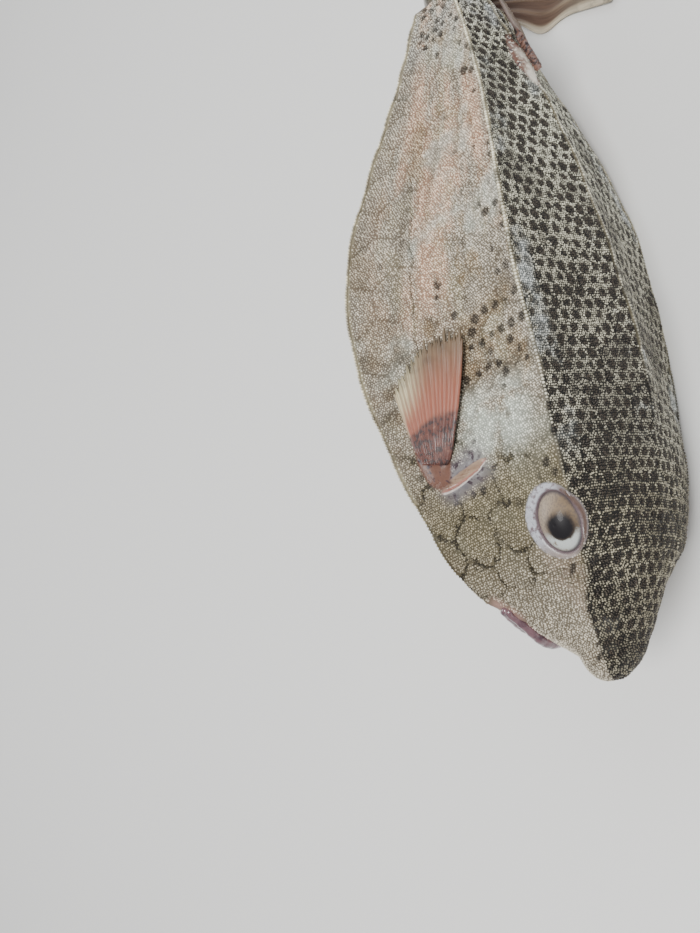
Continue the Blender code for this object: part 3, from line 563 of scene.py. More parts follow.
def makeSkin():
    count = skin["columns"]
    half = shell["half"]
    columns = -half + 2 * half * np.arange(count) / count
    ts = skinRows()
    t, column = np.meshgrid(ts, columns, indexing="ij")
    points = shellPoint(t, column)
    normals = shellNormal(t, column)
    step = np.linalg.norm(np.diff(points, axis=1), axis=2)
    arc = np.concatenate((np.zeros((len(ts), 1)), np.cumsum(step, axis=1)), axis=1)
    arc -= arc[:, [count // 2]]
    fields = skinFields(t, column, points, arc)
    fields["points"] = points
    points = points + normals * skinRelief(t, column, fields)[..., None]
    floor = toFloor(points)
    tip = toFloor((shell["noseTip"][0] + skin["coatDepth"], 0.0, shell["noseTip"][1]))

    angle = np.pi * columns / half
    start = stalkRing(0.0, angle)
    rings, ringTs = [], []
    for share, place in stalk["rimRows"]:
        ring = floor[-1] * (1 - share) + start * share
        ring[:, 0] = place
        rings.append(ring)
        ringTs.append(shell["length"] + share)
    for k in range(stalk["rows"] + 1):
        x = k / stalk["rows"]
        rings.append(stalkRing(x, angle))
        ringTs.append(shell["length"] + stalk["mapGap"] + stalk["mapLength"] * x)
    extra = len(rings)
    floor = np.concatenate((floor, np.array(rings)))
    rows = len(floor)
    ends = np.stack((tip, stalkFrame(1.0)[0]))
    world = floorToWorld(np.concatenate((floor.reshape(-1, 3), ends)))
    world[:, 2] = np.maximum(world[:, 2], leastHeight)

    index = np.arange(rows * count).reshape(rows, count)
    a, b = index[:-1], np.roll(index, -1, axis=1)[:-1]
    c, d = np.roll(index, -1, axis=1)[1:], index[1:]
    quads = np.stack((a, d, c, b), -1).reshape(-1, 4)
    first, last = index[0], index[-1]
    tipIndex, endIndex = rows * count, rows * count + 1
    fan = [(tipIndex, int(a), int(b)) for a, b in zip(first, np.roll(first, -1))]
    close = [(endIndex, int(b), int(a)) for a, b in zip(last, np.roll(last, -1))]
    body = meshObject("boxfishSkin", world, quads.tolist() + fan + close)

    def store(name, shellValues, stalkValues, tipValue, endValue):
        stalkValues = [np.broadcast_to(value, (extra, count)) for value in stalkValues]
        grid = np.concatenate([np.stack(values, -1) for values in (shellValues, stalkValues)])
        setAttribute(body, name, np.concatenate((grid.reshape(rows * count, -1), [tipValue, endValue])))

    place = (np.abs(column), t, fields["folds"])
    store("place", place, (np.abs(columns), np.array(ringTs)[:, None], 0.0), (9.0, -1.5, 0.0), (9.0, 290.0, 0.0))
    fields["netAcross"], fields["arc"] = np.abs(column) * netAcross, np.abs(arc)
    for name, words, far in (
            ("net", ("netAcross", "row", "edge"), (0.0, 0.0, 9.0)),
            ("gillPlace", ("gillX", "gillY", "gillNear"), (9.0, 9.0, 0.0)),
            ("spotPlace", ("spotAcross", "spotAlong", "ring"), (0.0, 0.0, 9.0)),
            ("headPlace", ("eye", "mouthX", "mouthY"), (9.0, 9.0, 9.0)),
            ("padPlace", ("pectoral", "dorsal", "anal"), (9.0, 9.0, 9.0)),
            ("lines", ("ridge", "keel", "arc"), (9.0, 9.0, 9.0))):
        store(name, [fields[word] for word in words], far, far, far)

    size = skin["mapSize"]
    arcEnd = np.concatenate((arc, (arc[:, -1:] + np.linalg.norm(
        shellPoint(ts, half) - shellPoint(ts, columns[-1]), axis=1)[:, None])), axis=1)
    lateArc = np.repeat(arcEnd[-1:], extra, axis=0)
    allArc = np.concatenate((arcEnd, lateArc))
    alongT = np.concatenate((ts, np.array(ringTs)))
    u = 0.5 + allArc / size
    v = (alongT + skin["mapMargin"]) / size
    uv = np.empty((rows - 1, count, 4, 2))
    for corner, (row, col) in enumerate(((0, 0), (1, 0), (1, 1), (0, 1))):
        uv[:, :, corner, 0] = u[row:rows - 1 + row, col:count + col]
        uv[:, :, corner, 1] = v[row:rows - 1 + row, None]
    fanUv = np.empty((2, count, 3, 2))
    fanUv[0, :, :, 1], fanUv[1, :, :, 1] = v[0], v[-1]
    fanUv[0, :, 0, 0] = fanUv[0, :, 1, 0] = u[0, :count]
    fanUv[0, :, 2, 0] = u[0, 1:]
    fanUv[1, :, 0, 0] = fanUv[1, :, 2, 0] = u[-1, :count]
    fanUv[1, :, 1, 0] = u[-1, 1:]
    layer = body.data.uv_layers.new(name="skinMap")
    layer.data.foreach_set("uv", np.concatenate((uv.ravel(), fanUv.ravel())))

    calm = np.maximum.reduce([
        1 - smoothStep(0.94, 1.02, fields["ring"]), 1 - smoothStep(1.03, 1.09, fields["eye"]),
        (1 - smoothStep(1.0, 1.1, np.abs(fields["gillX"]))) * fields["gillNear"]
        * (1 - smoothStep(3.0, 4.2, np.abs(fields["gillY"] - 0.6))),
        (1 - smoothStep(0.95, 1.1, fields["mouthX"])) * (1 - smoothStep(3.6, 4.6, np.abs(fields["mouthY"]))),
        *[1 - smoothStep(0.85, 1.0, fields[word]) for word in pads]])
    store("calm", (calm,), (1.0,), (1.0,), (1.0,))
    turnOutwards(body)
    return body


# shell grains: a six-sided net of them in each plate, rings on the nose, rows of larger ones on the ridges
grains = {
    "spacing": 0.75, "radius": 0.405, "height": 0.30, "jitter": 0.14, "variation": 0.22,
    "noseEnd": 29.0, "plateMargin": 0.14,
    "ridges": ((5.0, 50.0), (12.0, 34.0), (0.0, 62.0)),     # column, and the t where its row begins
    "ridgeSpacing": 0.98, "ridgeScale": 0.42, "ridgeGap": 0.58,
    "seed": 7, "patch": 0.0015,     # half width of each grain's patch on its map
    "perPiece": 18500,
}


def plateNet(count):       # places in one plate, in plate widths from its middle
    i, j = np.mgrid[-count:count + 1, -count:count + 1]
    x, y = (i + j / 2).ravel() / count, (j * math.sqrt(0.75)).ravel() / count
    reach = np.maximum(np.abs(x), 0.5 * np.abs(x) + math.sqrt(0.75) * np.abs(y))
    inside = reach <= 0.5 - grains["plateMargin"] / count
    return x[inside], y[inside]


def plateGrains():
    found = []
    nets = {}
    half = int(shell["half"])
    for column in range(-half, half):
        start = 1.5 * (column % 2)
        first = math.ceil((rowNumbers[0] - 1 - start) / 3)
        last = math.floor((rowNumbers[-1] + 1 - start) / 3)
        for row in start + 3 * np.arange(first, last + 1):
            t = np.interp(row, rowNumbers, rowTs)
            tall = plateSize * np.interp(t, rowTs, rowPitches)
            wide = np.interp(t, rowTs, rowGirths) / half
            count = max(3, round(math.sqrt(tall * wide) / grains["spacing"]))
            if count not in nets:
                nets[count] = plateNet(count)
            x, y = nets[count]
            found.append(np.stack((row + y * plateSize, column + 2 * x), -1))
    found = np.concatenate(found)
    found = found[(found[:, 0] > rowNumbers[0]) & (found[:, 0] < rowNumbers[-1] - 0.08)]
    found[:, 0] = np.interp(found[:, 0], rowNumbers, rowTs)
    return found[found[:, 0] > grains["noseEnd"]]


def noseGrains():
    ts = np.linspace(shell["noseTip"][0] + 0.02, grains["noseEnd"], 400)
    ring, girth = girths(ts)
    steps = np.linalg.norm(np.diff(ring, axis=0), axis=2).mean(1)
    way = np.concatenate(([0.0], np.cumsum(steps)))
    found = []
    for k, reach in enumerate(np.arange(0.6, way[-1], grains["spacing"] * math.sqrt(0.75))):
        t = np.interp(reach, way, ts)
        count = max(4, round(np.interp(t, ts, girth) / grains["spacing"]))
        turn = (np.arange(count) + 0.5 * (k % 2)) / count
        found.append(np.stack((np.full(count, t), shell["half"] * (2 * turn - 1)), -1))
    return np.concatenate(found)


def grainPlaces(chance):      # t, column and size of each grain
    found = np.concatenate((plateGrains(), noseGrains()))
    across = np.interp(found[:, 0], rowTs, rowGirths) / (2 * shell["half"])     # width of a column
    stray = chance.normal(0.0, grains["jitter"] * grains["spacing"], found.shape)
    found[:, 0] += stray[:, 0]
    found[:, 1] += stray[:, 1] / across
    size = 1 + grains["variation"] * chance.uniform(-1, 1, len(found))
    free = (found[:, 0] < shell["length"] - 0.3) & (found[:, 0] > shell["noseTip"][0] + 0.1)
    rows = []
    for column, start in grains["ridges"]:
        beside = (np.abs(np.abs(found[:, 1]) - column) * across < grains["ridgeGap"]) & (found[:, 0] > start)
        free &= ~beside
        ts = np.arange(start, shell["length"] - 0.5, grains["ridgeSpacing"])
        scale = 1 + grains["ridgeScale"] * smoothStep(start, start + 25, ts)
        for side in (1.0, -1.0) if column else (1.0,):
            rows.append(np.stack((ts, np.full(len(ts), column * side), scale), -1))
    return np.concatenate((np.column_stack((found, size))[free], *rows))


def onSkin(values, t, column):      # the skin's own values, read between its points
    ts, count = skinRows(), skin["columns"]
    grid = values[:len(ts) * count].reshape(len(ts), count, -1)
    i = np.clip(np.interp(t, ts, np.arange(len(ts))), 0, len(ts) - 1.001)
    j = (column + shell["half"]) / (2 * shell["half"]) * count % count
    i0, j0 = i.astype(int), j.astype(int) % count
    a, b = (i - i0)[:, None], (j - np.floor(j))[:, None]
    i1, j1 = i0 + 1, (j0 + 1) % count
    return ((grid[i0, j0] * (1 - a) + grid[i1, j0] * a) * (1 - b)
            + (grid[i0, j1] * (1 - a) + grid[i1, j1] * a) * b)


def readSkin(body, name, size, t, column):
    values = np.empty(len(body.data.vertices) * size, np.float32)
    if name in ("co", "normal"):
        body.data.vertices.foreach_get(name, values)
    else:
        body.data.attributes[name].data.foreach_get("vector" if size == 3 else "value", values)
    return onSkin(values.reshape(-1, size), t, column)


def grainDome():       # a six-sided foot under a three-cornered top, shaded smooth
    points = [(math.cos(math.radians(60 * k)), math.sin(math.radians(60 * k)), -0.45) for k in range(6)]
    points += [(0.52 * math.cos(math.radians(120 * k)), 0.52 * math.sin(math.radians(120 * k)), 0.85)
               for k in range(3)]
    faces = [(6, 7, 8)]
    for k in range(3):
        before, middle, after, top = (2 * k - 1) % 6, 2 * k, 2 * k + 1, 6 + k
        faces += [(before, middle, top), (middle, after, top), (after, 6 + (k + 1) % 3, top)]
    dome = meshObject("grainDome", points, faces)
    turnOutwards(dome)
    # height up each grain, which its material uses to paint its top lighter and its foot darker
    setAttribute(dome, "grainLift", [0.0] * 6 + [1.0] * 3)
    setAttribute(dome, "grainLocal", [(x, y, 0.0) for x, y, _ in points])
    for vertex in dome.data.vertices:
        vertex.co = (vertex.co.x * grains["radius"] * mm, vertex.co.y * grains["radius"] * mm,
                     vertex.co.z * grains["height"] * mm)
    return dome


def grainTree():
    tree = bpy.data.node_groups.new("shellGrains", "GeometryNodeTree")
    face = tree.interface
    face.new_socket("Geometry", in_out="INPUT", socket_type="NodeSocketGeometry")
    for name, kind, value in (("Seed", "Int", 0), ("Patch", "Float", grains["patch"])):
        socket = face.new_socket(name, in_out="INPUT", socket_type="NodeSocket" + kind)
        socket.default_value = value
    face.new_socket("Dome", in_out="INPUT", socket_type="NodeSocketObject")
    face.new_socket("Finish", in_out="INPUT", socket_type="NodeSocketMaterial")
    face.new_socket("Geometry", in_out="OUTPUT", socket_type="NodeSocketGeometry")

    def add(kind, sockets, **settings):
        made = tree.nodes.new(kind)
        for word, value in settings.items():
            setattr(made, word, value)
        for word, value in sockets.items():
            if isinstance(value, bpy.types.NodeSocket):
                tree.links.new(value, made.inputs[word])
            else:
                made.inputs[word].default_value = value
        return made.outputs

    def named(name, kind="FLOAT_VECTOR"):
        return add("GeometryNodeInputNamedAttribute", {"Name": name}, data_type=kind)[0]

    def keep(geometry, name, value, kind, domain):
        return add("GeometryNodeStoreNamedAttribute", {"Geometry": geometry, "Name": name, "Value": value},
                   data_type=kind, domain=domain)["Geometry"]

    given = add("NodeGroupInput", {})
    # a random brightness for each grain: partly its own tone, partly painted glints
    tone = add("FunctionNodeRandomValue", {"Seed": given["Seed"]}, data_type="FLOAT")[1]
    dome = add("GeometryNodeObjectInfo", {"Object": given["Dome"]})["Geometry"]
    turn = add("FunctionNodeAlignRotationToVector", {"Vector": named("grainUp")}, axis="Z")["Rotation"]
    placed = add("GeometryNodeInstanceOnPoints", {
        "Points": keep(given["Geometry"], "grainTone", tone, "FLOAT", "POINT"),
        "Instance": dome, "Rotation": turn, "Scale": named("grainSize", "FLOAT")})["Instances"]
    real = add("GeometryNodeRealizeInstances", {"Geometry": placed})["Geometry"]
    shrunk = add("ShaderNodeVectorMath", {0: named("grainLocal"), "Scale": given["Patch"]}, operation="SCALE")[0]
    spread = add("ShaderNodeVectorMath", {0: named("skinMap"), 1: shrunk}, operation="ADD")[0]
    mapped = keep(real, "OFBake", spread, "FLOAT2", "CORNER")
    painted = add("GeometryNodeSetMaterial", {"Geometry": mapped, "Material": given["Finish"]})["Geometry"]
    add("NodeGroupOutput", {"Geometry": painted})
    return tree


def applyTree(carrier, tree, values):      # the tree's result as a plain mesh on the same object
    modifier = carrier.modifiers.new("made", "NODES")
    modifier.node_group = tree
    names = {item.name: item.identifier for item in tree.interface.items_tree if item.in_out == "INPUT"}
    for word, value in values.items():
        modifier[names[word]] = value
    view = bpy.context.evaluated_depsgraph_get()
    mesh = bpy.data.meshes.new_from_object(carrier.evaluated_get(view))
    carrier.modifiers.clear()
    carrier.data = mesh
    mesh.name = carrier.name
    return carrier


def makeGrains(body, finish):
    chance = np.random.default_rng(grains["seed"])
    places = grainPlaces(chance)
    places = places[readSkin(body, "calm", 1, places[:, 0], places[:, 1])[:, 0] < 0.5]
    column = (places[:, 1] + shell["half"]) % (2 * shell["half"]) - shell["half"]
    area = np.select([np.abs(column) < ridgeColumn, np.abs(column) > keelColumn, column > 0], [0, 1, 2], 3)
    dome, tree = grainDome(), grainTree()
    made = []
    for k, word in enumerate(("Back", "Belly", "RightFlank", "LeftFlank")):
        chosen = places[area == k]
        chosen = chosen[np.argsort(chosen[:, 0])]
        for part, (t, column, size) in enumerate(
                chunk.T for chunk in np.array_split(chosen, math.ceil(len(chosen) / grains["perPiece"]))):
            points = readSkin(body, "co", 3, t, column)
            piece = meshObject("grains" + word + str(part + 1), points, [], smooth=False)
            setAttribute(piece, "grainUp", readSkin(body, "normal", 3, t, column))
            setAttribute(piece, "grainSize", size)
            for name in ("place", "net", "spotPlace", "gillPlace", "headPlace", "padPlace", "lines"):
                setAttribute(piece, name, readSkin(body, name, 3, t, column))
            arc = readSkin(body, "lines", 3, t, column)[:, 2] * np.sign(column)
            spot = np.stack((0.5 + arc / skin["mapSize"], (t + skin["mapMargin"]) / skin["mapSize"], 0 * t), -1)
            setAttribute(piece, "skinMap", spot)
            applyTree(piece, tree, {"Seed": grains["seed"] + len(made), "Patch": grains["patch"],
                                    "Dome": dome, "Finish": finish})
            low = np.empty(len(piece.data.vertices) * 3, np.float32)
            piece.data.vertices.foreach_get("co", low)
            low[2::3] = np.maximum(low[2::3], leastHeight / 2)      # grains under the fish are pressed flat
            piece.data.vertices.foreach_set("co", low)
            piece.data.shade_smooth()
            made.append(piece)
            print(piece.name, sum(len(f.vertices) - 2 for f in piece.data.polygons), "triangles")
    bpy.data.objects.remove(dome, do_unlink=True)
    return made


def bentRod(name, path, radii, sides):
    path = np.asarray(path, float)
    count = len(path)
    along = np.gradient(path, axis=0)
    along /= np.linalg.norm(along, axis=1, keepdims=True)
    up = np.cross(along[0], (0.3, 0.9, 0.2))
    points, place = [], []
    for i in range(count):
        up = up - along[i] * (up @ along[i])
        up /= np.linalg.norm(up)
        side = np.cross(along[i], up)
        for k in range(sides):
            turn = 2 * math.pi * k / sides
            points.append(path[i] + radii[i] * (up * math.cos(turn) + side * math.sin(turn)))
            place.append((i / (count - 1), k / sides, 0.0))
    faces = [(i * sides + k, i * sides + (k + 1) % sides, (i + 1) * sides + (k + 1) % sides, (i + 1) * sides + k)
             for i in range(count - 1) for k in range(sides)]
    faces += [tuple(reversed(range(sides))), tuple((count - 1) * sides + k for k in range(sides))]
    world = toWorld(points)
    world[:, 2] = np.maximum(world[:, 2], leastHeight)
    made = meshObject(name, world, faces)
    turnOutwards(made)
    setAttribute(made, "rodPlace", place)
    return made


def mouthPoint(x, ahead, lift):
    column = shell["half"] - mouth["columns"] * abs(x) - 0.01
    t = mouth["t"] + mouth["back"] * x * x - ahead
    side = 1.0 if x >= 0 else -1.0
    normal = shellNormal(t, side * column)
    if abs(x) < 0.02:
        normal[1] = 0.0
    return shellPoint(t, side * column) + normal * lift


def makeLips():
    made = []
    for name, sense, girth in (("lipUpper", 1.0, 1.0), ("lipLower", -1.0, mouth["lower"])):
        path, radii = [], []
        for x in np.linspace(-1.0, 1.0, mouth["points"]):
            bow = 1.0 - x * x
            path.append(mouthPoint(x, sense * mouth["spread"] * bow ** 0.6, mouth["stand"] * bow - 0.4))
            crease = 0.03 * math.sin(x * 34.0) + 0.02 * math.sin(x * 71.0 + 1.0)
            radii.append(mouth["radius"] * girth * (0.45 + 0.55 * bow + crease))
        made.append(bentRod(name, path, radii, mouth["sides"]))
    return made


def makeEye(name, side):
    rings, segments, lowest = eye["rings"], eye["segments"], math.radians(eye["lowest"])
    swell, reach = eye["cornea"]
    point, axes = flankAxes(eye["t"], eye["flank"], side)
    long, wide = eyeAxes(axes, side)
    centre = point - axes[2] * eye["sunk"]
    points, place = [centre + axes[2] * eye["half"][2]], [(0.0, 0.0, 1.0)]
    for i in range(1, rings + 1):
        polar = lowest * i / rings
        for k in range(segments):
            turn = 2 * math.pi * k / segments
            local = (math.sin(polar) * math.cos(turn), math.sin(polar) * math.sin(turn), math.cos(polar))
            cornea = swell * math.exp(-(polar / reach) ** 2)
            points.append(centre + long * eye["half"][0] * local[0] + wide * eye["half"][1] * local[1]
                          + axes[2] * (eye["half"][2] * local[2] + cornea - eye["settled"]))
            place.append((local[0], local[1] * side, local[2]))
    faces = [(0, 1 + k, 1 + (k + 1) % segments) for k in range(segments)]
    for i in range(rings - 1):
        for k in range(segments):
            a, b = 1 + i * segments + k, 1 + i * segments + (k + 1) % segments
            faces.append((a, a + segments, b + segments, b))
    faces.append(tuple(1 + (rings - 1) * segments + k for k in reversed(range(segments))))
    made = meshObject(name, toWorld(points), faces)
    turnOutwards(made)
    setAttribute(made, "eyePlace", place)
    return made


# fins: rays as ridges in a thin membrane
fins = {
    "pectoral": {"rays": 15, "perRay": 12, "rows": 70, "thick": 0.55, "flesh": 1.4, "rayHeight": 0.38,
                 "seeds": {1.0: 3, -1.0: 4}},
    "tail": {"rays": 14, "perRay": 12, "rows": 90, "thick": 0.55, "rayHeight": 0.45,
             "root": 8.0, "length": 74.0, "spread": 23.5, "flare": 0.5, "round": 0.2,
             "lobe": (5.0, 0.43, 0.14), "wave": 1.0, "level": 0.7, "flesh": 0.8, "seed": 5},
    "dorsal": {"rays": 9, "perRay": 10, "rows": 60, "thick": 0.5, "rayHeight": 0.6,
               "start": 183.0, "base": 16.0, "reach": 35.0, "rise": (-14.4, -9.7), "sweep": (24.0, 3.0),
               "flesh": 1.6, "seed": 6},
    "anal": {"rays": 9, "perRay": 10, "rows": 50, "thick": 0.5, "rayHeight": 0.55,
             "start": 204.0, "base": 12.0, "reach": 28.0, "drop": (46.0, 26.0), "lean": (0.3, 0.65),
             "flesh": 1.4, "seed": 8},
    "rootStand": 2.6, "lastRay": 0.8,
}
pectoralFin = {"low": (67.5, 0.83), "high": (64.5, 0.69), "tipLow": (92.0, 0.84), "tipHigh": (100.5, 0.33),
               "tipBow": 5.5, "stand": 2.15, "lift": {1.0: 2.2, -1.0: 1.2}}


def finMesh(name, spot, sizes, toFrame, flesh, frayed, seed):
    rays, perRay, rows = sizes["rays"], sizes["perRay"], sizes["rows"]
    columns = rays * perRay + 1
    x = np.linspace(0.0, 1.0, columns)
    y = np.linspace(0.0, 1.0, rows + 1)
    chance = np.random.default_rng(seed)
    sway = 0.3 * chance.uniform(-1, 1, rays + 1)
    rayPhase = x * rays + np.interp(x * rays, np.arange(rays + 1), sway * (np.arange(rays + 1) % rays > 0))
    notch = 0.5 * frayed * (np.abs(np.cos(np.pi * rayPhase)) ** 1.5 + np.abs(np.sin(2 * np.pi * rayPhase)) ** 3)
    notch += 0.8 * frayed * np.interp(x * rays * 2, np.arange(2 * rays + 1), chance.random(2 * rays + 1))
    xx, yy = np.meshgrid(x, y)
    yy = yy * (1 - notch[None, :] * smoothStep(0.5, 1.0, yy))
    grid = spot(xx, yy)
    normal = np.cross(np.gradient(grid, axis=1), np.gradient(grid, axis=0))
    normal /= np.maximum(np.linalg.norm(normal, axis=2, keepdims=True), 1e-9)
    away = (rayPhase % 1.0 - 0.5)[None, :]
    split = 0.16 * smoothStep(0.35, 0.9, yy)                 # each ray forks towards its tip
    width = 0.15 - 0.06 * smoothStep(0.2, 0.9, yy)
    ray = np.maximum(np.exp(-((away - split) / width) ** 2), np.exp(-((away + split) / width) ** 2))
    joints = 1 - 0.10 * (np.sin(yy * 150.0) > 0.6) * smoothStep(0.25, 0.4, yy)
    half = 0.5 * sizes["thick"] + 0.5 * sizes["rayHeight"] * ray * joints * (1 - 0.6 * yy)
    half = half + 0.5 * flesh(xx, yy)
    ripple = 0.12 * np.sin(xx * 31.0 + yy * 9.0) * smoothStep(0.2, 0.8, yy) * (1 - ray)
    middle = grid + normal * ripple[..., None]
    count = grid.shape[0] * grid.shape[1]
    points = np.concatenate(((middle + normal * half[..., None]).reshape(-1, 3),
                             (middle - normal * half[..., None]).reshape(-1, 3)))
    index = np.arange(count).reshape(rows + 1, columns)
    a, b, c, d = index[:-1, :-1], index[:-1, 1:], index[1:, 1:], index[1:, :-1]
    top = np.stack((a, b, c, d), -1).reshape(-1, 4)
    under = np.stack((a, d, c, b), -1).reshape(-1, 4) + count
    edge = np.concatenate((index[0], index[1:, -1], index[-1, -2::-1], index[-2:0:-1, 0]))
    following = np.roll(edge, -1)
    rim = np.stack((edge, edge + count, following + count, following), -1)
    faces = np.concatenate((top, under, rim)).tolist()
    world = toFrame(points)
    world[:, 2] = np.maximum(world[:, 2], leastHeight)
    made = meshObject(name, world, faces)
    turnOutwards(made)
    place = np.stack((xx, yy, ray), -1).reshape(-1, 3)
    setAttribute(made, "finPlace", np.concatenate((place, place)))
    return made


def makePectoral(name, side):
    p = pectoralFin
    sizes = fins["pectoral"]

    def spot(x, y):
        foot, footPlace = (a + (b - a) * x for a, b in zip(p["low"], p["high"]))
        tip, tipPlace = (a + (b - a) * x for a, b in zip(p["tipLow"], p["tipHigh"]))
        tip = tip + p["tipBow"] * np.sin(np.pi * x)
        t = foot + (tip - foot) * y
        column = flankColumn(footPlace + (tipPlace - footPlace) * np.maximum(y, 0.0) ** (0.8 - 0.15 * x), side)
        away = (p["stand"] * (0.42 + 0.58 * smoothStep(0.0, 0.22, y))
                + p["lift"][side] * (0.35 * y + 0.5 * np.sin(np.pi * y)))
        return shellPoint(t, column) + shellNormal(t, column) * away[..., None]

    def flesh(x, y):
        return sizes["flesh"] * (1 - smoothStep(0.05, 0.38, y)) * np.sqrt(np.clip(1 - (2 * x - 1) ** 4, 0.1, 1))

    return finMesh(name, spot, sizes, toWorld, flesh, frayed=0.11, seed=sizes["seeds"][side])


def makeTailFin(name):
    sizes = fins["tail"]
    centre, along, _, _ = stalkFrame(1.0)
    flat = unit(np.array((along[0], along[1], 0.0)))
    side = np.array((flat[1], -flat[0], 0.0))
    if side[0] > 0:
        side = -side
    lobeSize, lobePlace, lobeWidth = sizes["lobe"]

    def spot(x, y):
        spread = 1 - 2 * x
        upper = np.maximum(0.0, spread) ** 2
        length = sizes["length"] * (1 - sizes["round"] * np.abs(spread) ** 3)
        width = sizes["root"] + sizes["spread"] * np.maximum(y, 0.0) ** sizes["flare"]
        lobe = lobeSize * upper * np.exp(-((y - lobePlace) / lobeWidth) ** 2)
        place = (centre - along * 2.0 + flat * (length * y)[..., None]
                 + side * (width * spread + lobe)[..., None])
        sink = smoothStep(0.0, 0.42, y)
        place[..., 2] = (centre[2] + (sizes["level"] - centre[2]) * sink
                         + sizes["wave"] * smoothStep(0.45, 1.0, y) * upper)
        return place

    def flesh(x, y):
        return sizes["flesh"] * (1 - smoothStep(0.0, 0.25, y))

    return finMesh(name, spot, sizes, floorToWorld, flesh, frayed=0.022, seed=sizes["seed"])


def backFin(name, sizes, column, wayAt):      # a fin on the fish's back or belly line
    stand = np.array((0.0, 0.0, fins["rootStand"] if column == 0.0 else -fins["rootStand"]))

    def spot(x, y):
        foot = shellPoint(sizes["start"] + sizes["base"] * x, column)
        reach = (sizes["reach"] * (1 - (1 - fins["lastRay"]) * x) * y)[..., None]
        return foot + stand + reach * np.stack(wayAt(x, y), -1)

    def flesh(x, y):
        return sizes["flesh"] * (1 - smoothStep(0.0, 0.22, y))

    return finMesh(name, spot, sizes, toWorld, flesh, frayed=0.05, seed=sizes["seed"])


def between(pair, share):
    return pair[0] + (pair[1] - pair[0]) * share


def makeDorsalFin(name):
    sizes = fins["dorsal"]

    def wayAt(x, y):
        rise, sweep = np.radians(between(sizes["rise"], x)), np.radians(between(sizes["sweep"], x))
        return np.cos(rise) * np.cos(sweep), -np.cos(rise) * np.sin(sweep), np.sin(rise)

    return backFin(name, sizes, 0.0, wayAt)


def makeAnalFin(name):
    sizes = fins["anal"]

    def wayAt(x, y):
        drop, lean = np.radians(between(sizes["drop"], x)), between(sizes["lean"], y)
        return np.cos(drop), -np.sin(drop) * lean, -np.sin(drop) * np.sqrt(1 - lean * lean)

    return backFin(name, sizes, shell["half"], wayAt)


# node helpers
class Wire:      # a node's output, which can be added, subtracted, multiplied and divided
    def __init__(self, socket):
        self.socket = socket

    def __add__(self, other):
        return calc("ADD", self, other)

    def __radd__(self, other):
        return calc("ADD", other, self)

    def __sub__(self, other):
        return calc("SUBTRACT", self, other)

    def __rsub__(self, other):
        return calc("SUBTRACT", other, self)

    def __mul__(self, other):
        return calc("MULTIPLY", self, other)

    def __rmul__(self, other):
        return calc("MULTIPLY", other, self)

    def __truediv__(self, other):
        return calc("DIVIDE", self, other)

    def __rtruediv__(self, other):
        return calc("DIVIDE", other, self)


def put(socket, value):
    if isinstance(value, Wire):
        socket.id_data.links.new(value.socket, socket)
    elif isinstance(value, tuple) and socket.type == "RGBA":
        socket.default_value = (*value[:3], 1.0)
    else:
        socket.default_value = value


def isWide(value):      # a vector or a colour, not a single number
    return isinstance(value, tuple) or isinstance(value, Wire) and value.socket.type != "VALUE"


def calc(operation, *values):      # a Math node, or a Vector Math node where a vector comes in
    tree = next(value.socket.id_data for value in values if isinstance(value, Wire))
    wide = [isWide(value) for value in values]
    node = tree.nodes.new("ShaderNodeVectorMath" if any(wide) else "ShaderNodeMath")
    scaled = operation == "MULTIPLY" and wide == [True, False]
    node.operation = "SCALE" if scaled else operation
    for socket, value in zip((node.inputs[0], node.inputs["Scale"]) if scaled else node.inputs, values):
        put(socket, value)
    return Wire(node.outputs["Vector" if any(wide) and operation not in ("LENGTH", "DOT_PRODUCT") else "Value"])


def most(first, *others):
    for other in others:
        first = calc("MAXIMUM", first, other)
    return first


def mixed(factor, first, second):
    node = factor.socket.id_data.nodes.new("ShaderNodeMix")
    node.data_type = "RGBA"
    for place, value in ((0, factor), (6, first), (7, second)):
        put(node.inputs[place], value)
    return Wire(node.outputs[2])


def ramp(value, low, high):      # smooth 0 to 1 from low to high, also where low is the larger
    node = value.socket.id_data.nodes.new("ShaderNodeMapRange")
    node.interpolation_type = "SMOOTHSTEP"
    ends = (low, high, 0.0, 1.0) if low < high else (high, low, 1.0, 0.0)
    for word, end in zip(("From Min", "From Max", "To Min", "To Max"), ends):
        node.inputs[word].default_value = end
    put(node.inputs["Value"], value)
    return Wire(node.outputs["Result"])


def band(value, middle, width):
    return ramp(calc("ABSOLUTE", value - middle), width, width * 0.3)


def noise(place, scale, detail=3.0, roughness=0.55):
    node = place.socket.id_data.nodes.new("ShaderNodeTexNoise")
    for word, value in (("Vector", place), ("Scale", scale), ("Detail", detail), ("Roughness", roughness)):
        put(node.inputs[word], value)
    return Wire(node.outputs[0]), Wire(node.outputs["Color"])


def attribute(tree, name):
    node = tree.nodes.new("ShaderNodeAttribute")
    node.attribute_name = name
    return Wire(node.outputs["Vector"])


def parts(value):
    node = value.socket.id_data.nodes.new("ShaderNodeSeparateXYZ")
    put(node.inputs[0], value)
    return [Wire(output) for output in node.outputs]


def joined(x, y):
    node = x.socket.id_data.nodes.new("ShaderNodeCombineXYZ")
    put(node.inputs[0], x)
    put(node.inputs[1], y)
    return Wire(node.outputs[0])


def objectPlace(tree):
    return Wire(tree.nodes.new("ShaderNodeTexCoord").outputs["Object"])


def useGroup(tree, group, **values):
    node = tree.nodes.new("ShaderNodeGroup")
    node.node_tree = group
    for name, value in values.items():
        put(node.inputs[name], value)
    return {output.name: Wire(output) for output in node.outputs}


def newGroup(name, given, made):
    group = bpy.data.node_groups.new(name, "ShaderNodeTree")
    for sockets, way in ((given, "INPUT"), (made, "OUTPUT")):
        for word, kind in sockets.items():
            group.interface.new_socket(word, in_out=way, socket_type="NodeSocket" + kind)
    inputs = group.nodes.new("NodeGroupInput").outputs
    return group, {word: Wire(inputs[word]) for word in given}, group.nodes.new("NodeGroupOutput").inputs


